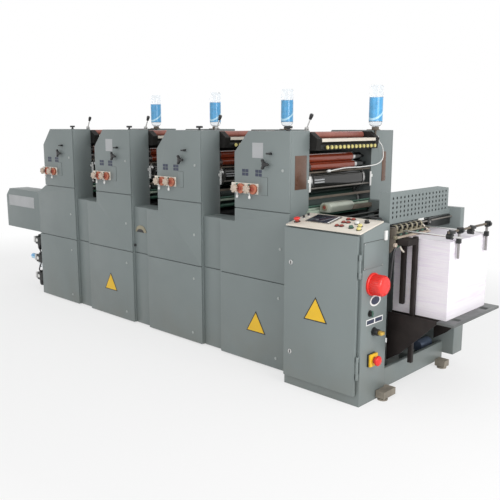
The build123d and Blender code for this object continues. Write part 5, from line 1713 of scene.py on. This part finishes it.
class PRESS_OT_delivery(PressOperator, bpy.types.Operator):
    """Fingers over the sheet exit, its levers and wire, the rear stops and what lies in the tray"""

    bl_idname = "press.delivery"
    bl_label = "Delivery fittings"

    # The sheet exit's bars: how far out from the frame's end, their far end, heights and finish
    exit_near_inset = 0.020
    exit_far = DRIVE_INNER - 0.020
    exit_bars = (
        ((-0.014, 0.004), exit_far, (0.988, 1.052), "casting"),
        ((0.002, 0.030), 0.005, (1.004, 1.013), "finger"),
        ((0.004, 0.028), 0.015, (0.986, 1.004), "casting"),
    )
    # The lip's and the bracket's outlines out from the frame's end, at their heights
    lip_shape = ((-0.014, 0.978), (0.050, 0.978), (0.050, 0.984), (-0.014, 0.992))
    lip_far = 0.035
    clip_count = 5
    clip_start = 0.050
    clip_pitch = 0.064
    clip_spans = ((0.020, 0.0295), (0, 0.026), (0.988, 1.000))
    shaft_place = (0.014, 1.040)
    shaft_radius = 0.005
    finger_count = 6
    finger_pitch = 0.057
    first_finger = -0.348
    finger_place = (0.014, 1.034)
    finger_radii = (0.022, 0.018)
    finger_turn = (150, -70)
    finger_width = 0.016
    # Its round end and the wheel beside it: along and up from its middle, radius and beyond its edges
    finger_end = (0.010, -0.016, 0.007, 0.003)
    finger_wheel = (0.006, 0.011, (0.004, 0.018))
    bearing_spans = ((-0.040, 0.038), (-0.020, 0), (0.978, 1.043))
    tag_spans = ((0.001, 0.006), (-0.044, 0.018), (1.048, 1.0628))
    wheel_place = (0.066, 1.033)
    wheel_shape = (
        (0.0225, 0.004), (0.024, 0.008), (0.024, 0.018), (0.0225, 0.022), (0.014, 0.022),
        (0.013, 0.018), (0.002, 0.018),
    )
    wheel_hub = (0.009, 0.014, 0.026)
    bracket_shape = ((-0.040, 0.900), (0.004, 0.888), (0.034, 0.930), (0.038, 0.978), (-0.040, 0.978))
    bracket_box_spans = ((0.006, 0.046), (0, 0.048), (0.924, 0.9785))
    studs = ((0.985, "finger"), (0.940, "grip"))
    stud_beside = 0.012
    stud_size = (0.013, 0.030, 0.046)
    # Bent bars from the bracket, and the wire from Y = 0: points, radius, sides and finish
    bent_bars = (
        (((0.044, 0.030, 0.930), (0.048, 0.048, 0.905), (0.046, 0.072, 0.890)), 0.006, 12, "cream"),
        (((0.020, 0.014, 0.930), (0.020, -0.008, 0.836), (0.018, -0.026, 0.700)), 0.0075, 14, "plastic"),
    )
    wire = (((0.006, -0.056, 1.056), (0.028, -0.018, 1.020), (0.047, 0.018, 0.985)), 0.004, 8, "cream")
    # A dark sheet close behind the guard, painted shade seen through its holes
    guard_thickness = 0.004
    shade_sheet_gap = 0.0008
    shade_sheet_thickness = 0.001
    shade_sheet_far_inset = 0.054
    shade_sheet_top_inset = 0.002
    shade_sheet_corner = (0.147, 0.020)
    # The rear stops, about their bar
    stop_bar_place = (0.017, 0.018)
    stop_bar_radius = 0.007
    bushing_ways = (-0.270, -0.008)
    bushing_height = 1.014
    bushing_radii = (0.0062, 0.017)
    bushing_half = 0.017
    carrier_spans = ((-0.013, 0.013), (-0.014, 0.046))
    carrier_foot = 1.026
    carrier_rise = 0.008
    carrier_screw = (0.008, 0.005, 0.014)
    stop_ways = (-0.156, 0.210)
    clamp_spans = ((-0.009, 0.018), (-0.018, 0.018), (-0.018, 0.018))
    foot_spans = ((-0.012, 0.012), (-0.013, 0.013), (0.960, 0.990))
    rod_foot = ((0.0062, 0.870), (0.008, 0.872))
    rod_radius = 0.008
    rod_margin = 0.0004
    grip_lobes = (0.004, 0.0075, 5)
    grip_out = (0.017, 0.0285)
    # What lies in the tray, from the motor's middle and from the drive side
    motor_inset = (0.160, 0.130)
    motor_height = 0.100
    motor_shape = (
        (0.010, -0.070), (0.040, -0.068), (0.044, -0.060), (0.044, 0.050), (0.036, 0.060), (0.010, 0.062),
    )
    near_blocks = (
        ((-0.040, 0.030), (-0.036, 0.036), (0.052, 0.064), "casting", 0.002),
        ((0.062, 0.110), (-0.034, 0.034), (0.052, 0.132), "casting", 0.004),
    )
    far_blocks = (
        ((-0.020, 0.046), (-0.290, -0.026), (0.052, 0.118), "paint", 0.004),
        ((0.024, 0.080), (-0.180, -0.040), (0.100, 0.112), "casting", 0.002),
    )
    blower_place = (0.060, 0.148)
    blower_shape = ((0.012, -0.190), (0.034, -0.188), (0.037, -0.180), (0.037, -0.050), (0.020, -0.042))
    near_bolts = ((-0.052, -0.052), (0.086, -0.052))
    far_bolt = (0.096, -0.020)
    bolt_radius = 0.012
    tray_floor = 0.052
    bolt_tops = (0.074, 0.100)

    def execute(self, context):
        self.exit()
        self.painted_shade_sheet()
        self.stops()
        self.tray()
        return {"FINISHED"}

    def exit(self):
        near = low("sheet_exit", Y) + self.exit_near_inset
        x = FRAME_END
        out = Piece("sheet_exit_finished", FRAME_BODY, "dark_casting", ["sheet_exit"])
        for (start, end), far, heights, finish in self.exit_bars:
            out.add(block(x + start, x + end, near, far, *heights), finish, 0.001)
        out.add(prism([(x + part, z) for part, z in self.lip_shape], Y, near, self.lip_far), "grip", 0.001)
        for place in range(self.clip_count):
            y = near + self.clip_start + place * self.clip_pitch
            out.add(block_at((x, y, 0), *self.clip_spans), "green", 0.001)
        shaft_x, shaft_z = x + self.shaft_place[0], self.shaft_place[1]
        ends = [(shaft_x, y, shaft_z) for y in (near - self.exit_near_inset, self.exit_far)]
        out.add(swept(ends, self.shaft_radius, 14), "oily")
        for place in range(self.finger_count):
            self.finger(out, self.first_finger + place * self.finger_pitch)
        out.add(block_at((x, near, 0), *self.bearing_spans), "iron", 0.002)
        out.add(block_at((x, 0, 0), *self.tag_spans), "white", 0.001)
        self.wheel(out)
        self.levers(out, near)
        out.done()

    def finger(self, piece, y):
        """A flat sprung finger that curls over the shaft, with its round end and the wheel beside it."""
        x, z = FRAME_END + self.finger_place[0], self.finger_place[1]
        start, end = self.finger_turn
        outer, inner = self.finger_radii
        curl = arc((x, z), outer, start, end, 12) + arc((x, z), inner, end, start, 12)
        width = self.finger_width
        piece.add(prism(curl, Y, y, y + width), "finger", 0.0006, 1)
        along, up, radius, beyond = self.finger_end
        tip = disc(Y, (x + along, 0, z + up), radius, y - beyond, y + width + beyond, 14)
        piece.add(tip, "finger", 0.001)
        up, radius, (inside, outside) = self.finger_wheel
        wheel = disc(Y, (x, 0, z + up), radius, y + width + inside, y + width + outside, 18)
        piece.add(wheel, "plastic", 0.001)

    def wheel(self, piece):
        """A hand wheel on the front of the exit."""
        y, z = self.wheel_place
        radius, start, end = self.wheel_hub
        piece.add(turned(placed(self.wheel_shape, FRAME_END), X, (0, y, z), 32), "casting")
        piece.add(disc(X, (0, y, z), radius, FRAME_END + start, FRAME_END + end, 20), "dull", 0.001)

    def levers(self, piece, near):
        """The near bracket with its studs and bent levers, and the slanting wire over the lip."""
        x = FRAME_END
        bracket = [(x + part, z) for part, z in self.bracket_shape]
        piece.add(prism(bracket, Y, *reach(near, 1, self.bearing_spans[1])), "iron", 0.002)
        piece.add(block_at((x, near, 0), *self.bracket_box_spans), "green", 0.004)
        radius, start, end = self.stud_size
        for height, finish in self.studs:
            stud = disc(X, (0, near - self.stud_beside, height), radius, x + start, x + end, 18)
            piece.add(stud, finish, 0.002)
        bars = [(near, bar) for bar in self.bent_bars] + [(0, self.wire)]
        for base, (points, radius, sides, finish) in bars:
            line = rounded_line([(x + a, base + b, c) for a, b, c in points])
            piece.add(swept(line, radius, sides), finish)

    def painted_shade_sheet(self):
        """A dark sheet close behind the perforated guard, painted shade in place of the shade inside it."""
        corner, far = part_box("perforated_guard")
        x = far.x - self.guard_thickness - self.shade_sheet_gap
        near, end = corner.y + self.guard_thickness, DRIVE_INNER - self.shade_sheet_far_inset
        top = far.z - self.shade_sheet_top_inset
        cut, drop = self.shade_sheet_corner
        outline = [(near, corner.z), (end, corner.z), (end, top - drop), (end - cut, top), (near, top)]
        sheet = Piece("guard_painted_shade_sheet", FRAME_BODY, "dark_casting")
        sheet.add(prism(outline, X, x - self.shade_sheet_thickness, x), "plastic")
        sheet.done()

    def stops(self):
        """The bar on its bushings, and the two stop rods that it holds against the pile."""
        body = "rear_stops"
        corner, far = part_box(body)
        x, bar = corner.x + self.stop_bar_place[0], far.z - self.stop_bar_place[1]
        stops = Piece("rear_stops_finished", body, "bright_steel", ["rear_stops"])
        stops.add(swept([(x, y, bar) for y in (corner.y, far.y)], self.stop_bar_radius, 18), "iron")
        bore, outside = self.bushing_radii
        left, right = x - self.bushing_half, x + self.bushing_half
        bushing = [(bore, left), (outside, left), (outside, right), (bore, right)]
        for y in self.bushing_ways:
            centre = (0, y, self.bushing_height)
            stops.add(turned(bushing, X, centre, 28, closed=True), "casting")
            heights = (self.carrier_foot, bar + self.carrier_rise)
            stops.add(block_at((x, y, 0), *self.carrier_spans, heights), "casting", 0.003)
            radius, start, end = self.carrier_screw
            stops.add(disc(Z, (x, y, 0), radius, bar + start, bar + end, 16), "plastic", 0.001)
        for y in self.stop_ways:
            stops.add(block_at((x, y, bar), *self.clamp_spans), "casting", 0.003)
            rod = [*self.rod_foot, (self.rod_radius, far.z - self.rod_margin)]
            stops.add(turned(rod, Z, (x, y, 0), 24), "dull")
            grip = lobes((y, bar), *self.grip_lobes)
            stops.add(prism(grip, X, *reach(x, 1, self.grip_out)), "plastic", 0.001)
            stops.add(block_at((x, y, 0), *self.foot_spans), "casting", 0.002)
        stops.done()

    def tray(self):
        """A motor, a gear box, a blower in its housing and bolts."""
        x, y = FRAME_END - self.motor_inset[0], CONSOLE_BACK + self.motor_inset[1]
        far = DRIVE_INNER
        tray = Piece("tray_motor", FRAME_BODY, "dark_casting")
        tray.add(turned(placed(self.motor_shape, x), X, (0, y, self.motor_height), 32), "motor")
        for base, blocks in ((y, self.near_blocks), (far, self.far_blocks)):
            for *spans, finish, edge in blocks:
                tray.add(block_at((x, base, 0), *spans), finish, edge)
        blower_x, blower_z = x + self.blower_place[0], self.blower_place[1]
        tray.add(turned(placed(self.blower_shape, far), Y, (blower_x, 0, blower_z), 32), "motor")
        low_top, high_top = self.bolt_tops
        bolts = [(y, low_top, place) for place in self.near_bolts] + [(far, high_top, self.far_bolt)]
        for base, top, (along, beside) in bolts:
            bolt = disc(Z, (x + along, base + beside, 0), self.bolt_radius, self.tray_floor, top, 18)
            tray.add(bolt, "white", 0.002)
        tray.done()


class PRESS_OT_paper(PressOperator, bpy.types.Operator):
    """The pile of printed sheets on the delivery table"""

    bl_idname = "press.paper"
    bl_label = "Paper pile"

    joint = "pile_table_lift"
    inset = 0.0012
    fill = 0.94

    def execute(self, context):
        sizes = context.scene.press_sizes
        corner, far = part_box("paper_pile")
        full = far - corner
        rise = full.z / sizes.slab_count
        drift = sizes.slab_drift
        foot = ((corner.x + far.x) / 2, (corner.y + far.y) / 2, corner.z + rise / 2)
        values = {
            "Count": sizes.slab_count,
            "Rise": (0, 0, rise),
            "Size": (full.x - 2 * self.inset, full.y - 2 * self.inset, rise * self.fill),
            "Drift": (drift, drift, 0),
            "Inward drift": (-drift, -drift, 0),
        }
        pile = grow(
            "paper_pile_sheets", slab_tree(), spots("pile_foot", [(foot, (0, 0, 1))]), values,
            "paper", "pile_table", ["paper_pile"],
        )
        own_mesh(pile)
        return {"FINISHED"}


class PRESS_OT_drive_side(PressOperator, bpy.types.Operator):
    """Vent louvres on the drive side's low covers"""

    bl_idname = "press.drive_side"
    bl_label = "Drive side vents"

    vent_half = 0.118
    vent_span = (0.286, 0.434)
    first_slat = 0.300
    slat_size = (0.226, 0.002, 0.014)
    slat_pitch = 0.015
    slat_count = 9

    def execute(self, context):
        places = []
        back = Piece("vent_painted_shade", FRAME_BODY, "housing_paint")
        y = DRIVE_REAR
        for unit in UNITS:
            x = tower_left(unit) + TOWER_WIDTH / 2
            # A black panel behind the louvres, painted shade inside each vent
            vent = block(x - self.vent_half, x + self.vent_half, y - 0.001, y, *self.vent_span)
            back.add(vent, "plastic")
            places.append(((x, y, self.first_slat), (0, 0, 1)))
        back.done()
        values = {"Count": self.slat_count, "Rise": (0, 0, self.slat_pitch), "Size": self.slat_size}
        base = spots("vent_places", places)
        grow("vent_slats", slat_tree(), base, values, "paint", FRAME_BODY)
        return {"FINISHED"}


class PRESS_OT_stage(PressOperator, bpy.types.Operator):
    """Pale floor, soft light, white background and the camera"""

    bl_idname = "press.stage"
    bl_label = "Stage"

    # Each lamp's place, what it points at and its size
    front_lamp = ((2.0, -11.0, 4.5), (0.0, 0.0, 0.7), 9.0)
    end_lamp = ((6.0, -1.3, 2.5), (1.4, 0.0, 0.8), 3.0)
    floor_size = 24.0
    floor_drop = 0.0005
    floor_colour = (0.86, 0.86, 0.86)
    # The floor's own light and shade fade to plain white from one reach round the press to another
    reach_scale = (0.78, 1.15, 0)
    fade_start = 2.9
    fade_end = 4.3
    least_white = 0.66

    def execute(self, context):
        stage = context.scene.press_stage
        self.floor()
        self.world(stage)
        self.lamp("front_lamp", *self.front_lamp, stage.front_power)
        self.lamp("end_lamp", *self.end_lamp, stage.end_power)
        camera = bpy.data.cameras.new("camera")
        camera.lens = stage.lens
        camera.sensor_width = 36
        camera.shift_x = stage.shift
        camera.clip_end = 100
        context.scene.camera = self.aimed("camera", camera, stage.eye, stage.look)
        context.scene.view_settings.view_transform = "Standard"
        return {"FINISHED"}

    def aimed(self, name, data, place, way):
        """Puts a lamp or camera at a place, facing a way."""
        holder = bpy.data.objects.new(name, data)
        holder.location = place
        holder.rotation_euler = Vector(way).to_track_quat("-Z", "Y").to_euler()
        bpy.context.scene.collection.objects.link(holder)
        return holder

    def lamp(self, name, place, target, size, power):
        light = bpy.data.lights.new(name, "AREA")
        light.shape = "SQUARE"
        light.size = size
        light.energy = power
        self.aimed(name, light, place, Vector(target) - Vector(place))

    def world(self, stage):
        world = bpy.data.worlds.new("studio")
        world.use_nodes = True
        tree = world.node_tree
        background = tree.nodes["Background"]
        background.inputs["Color"].default_value = (1, 1, 1, 1)
        strength = tree.nodes.new("ShaderNodeMapRange")
        strength.inputs["To Min"].default_value = stage.sky
        strength.inputs["To Max"].default_value = 1.0
        tree.links.new(seen_ray(tree), strength.inputs["Value"])
        tree.links.new(strength.outputs[0], background.inputs["Strength"])
        bpy.context.scene.world = world

    def floor(self):
        """A pale ground that keeps the press's shadow and fades to white away from it."""
        mesh = bpy.data.meshes.new("floor")
        half = self.floor_size / 2
        corners = [(-half, -half, 0), (half, -half, 0), (half, half, 0), (-half, half, 0)]
        mesh.from_pydata(corners, [], [(0, 1, 2, 3)])
        floor = bpy.data.objects.new("floor", mesh)
        floor.location.z = -self.floor_drop
        bpy.context.scene.collection.objects.link(floor)
        made = Finish("pale_floor", self.floor_colour, 0.9)
        flat = made.add("ShaderNodeVectorMath", operation="MULTIPLY")
        flat.inputs[1].default_value = self.reach_scale
        made.join(made.place, flat.inputs[0])
        distance = made.add("ShaderNodeVectorMath", operation="LENGTH")
        made.join(flat.outputs[0], distance.inputs[0])
        far = made.span(distance.outputs["Value"], self.fade_start, self.fade_end, self.least_white, 1.0)
        glow = made.add("ShaderNodeEmission")
        glow.inputs["Strength"].default_value = 1.0
        blend = made.add("ShaderNodeMixShader")
        made.join(made.sum("MULTIPLY", far, seen_ray(made.tree)), blend.inputs[0])
        made.join(made.shader.outputs[0], blend.inputs[1])
        made.join(glow.outputs[0], blend.inputs[2])
        made.join(blend.outputs[0], made.tree.nodes["Material Output"].inputs["Surface"])
        mesh.materials.append(made.material)


def seen_ray(tree):
    """1 for rays from the camera, in mirrors and through glass, else 0."""
    path = tree.nodes.new("ShaderNodeLightPath")
    total = path.outputs["Is Camera Ray"]
    for other in ("Is Glossy Ray", "Is Transmission Ray"):
        node = tree.nodes.new("ShaderNodeMath")
        node.operation = "MAXIMUM"
        tree.links.new(total, node.inputs[0])
        tree.links.new(path.outputs[other], node.inputs[1])
        total = node.outputs[0]
    return total


# Registration

STEPS = (
    PRESS_OT_finish_frame,
    PRESS_OT_cover_locks,
    PRESS_OT_hand_hole,
    PRESS_OT_tower_marks,
    PRESS_OT_triangle_plates,
    PRESS_OT_register_controls,
    PRESS_OT_tower_knobs,
    PRESS_OT_ink_units,
    PRESS_OT_wash_up_box,
    PRESS_OT_bottles,
    PRESS_OT_feeder,
    PRESS_OT_console,
    PRESS_OT_delivery,
    PRESS_OT_paper,
    PRESS_OT_drive_side,
    PRESS_OT_stage,
)
GROUPS = {"press_colours": PressColours, "press_sizes": PressSizes, "press_stage": PressStage}


class PRESS_PT_sidebar(bpy.types.Panel):
    """Sizes, colours and steps of the press"""

    bl_idname = "PRESS_PT_sidebar"
    bl_label = "Offset press"
    bl_space_type = "VIEW_3D"
    bl_region_type = "UI"
    bl_category = "Press"

    def draw(self, context):
        for name, group in GROUPS.items():
            box = self.layout.box()
            for field in group.__annotations__:
                box.prop(getattr(context.scene, name), field)
        for step in STEPS:
            self.layout.operator(step.bl_idname)


def register():
    for cls in (*GROUPS.values(), *STEPS, PRESS_PT_sidebar):
        bpy.utils.register_class(cls)
    for name, group in GROUPS.items():
        setattr(bpy.types.Scene, name, bpy.props.PointerProperty(type=group))


def unregister():
    for name in GROUPS:
        delattr(bpy.types.Scene, name)
    for cls in reversed((*GROUPS.values(), *STEPS, PRESS_PT_sidebar)):
        bpy.utils.unregister_class(cls)


def main():
    register()
    for step in STEPS:
        family, action = step.bl_idname.split(".")
        getattr(getattr(bpy.ops, family), action)()


if __name__ == "__main__":
    main()
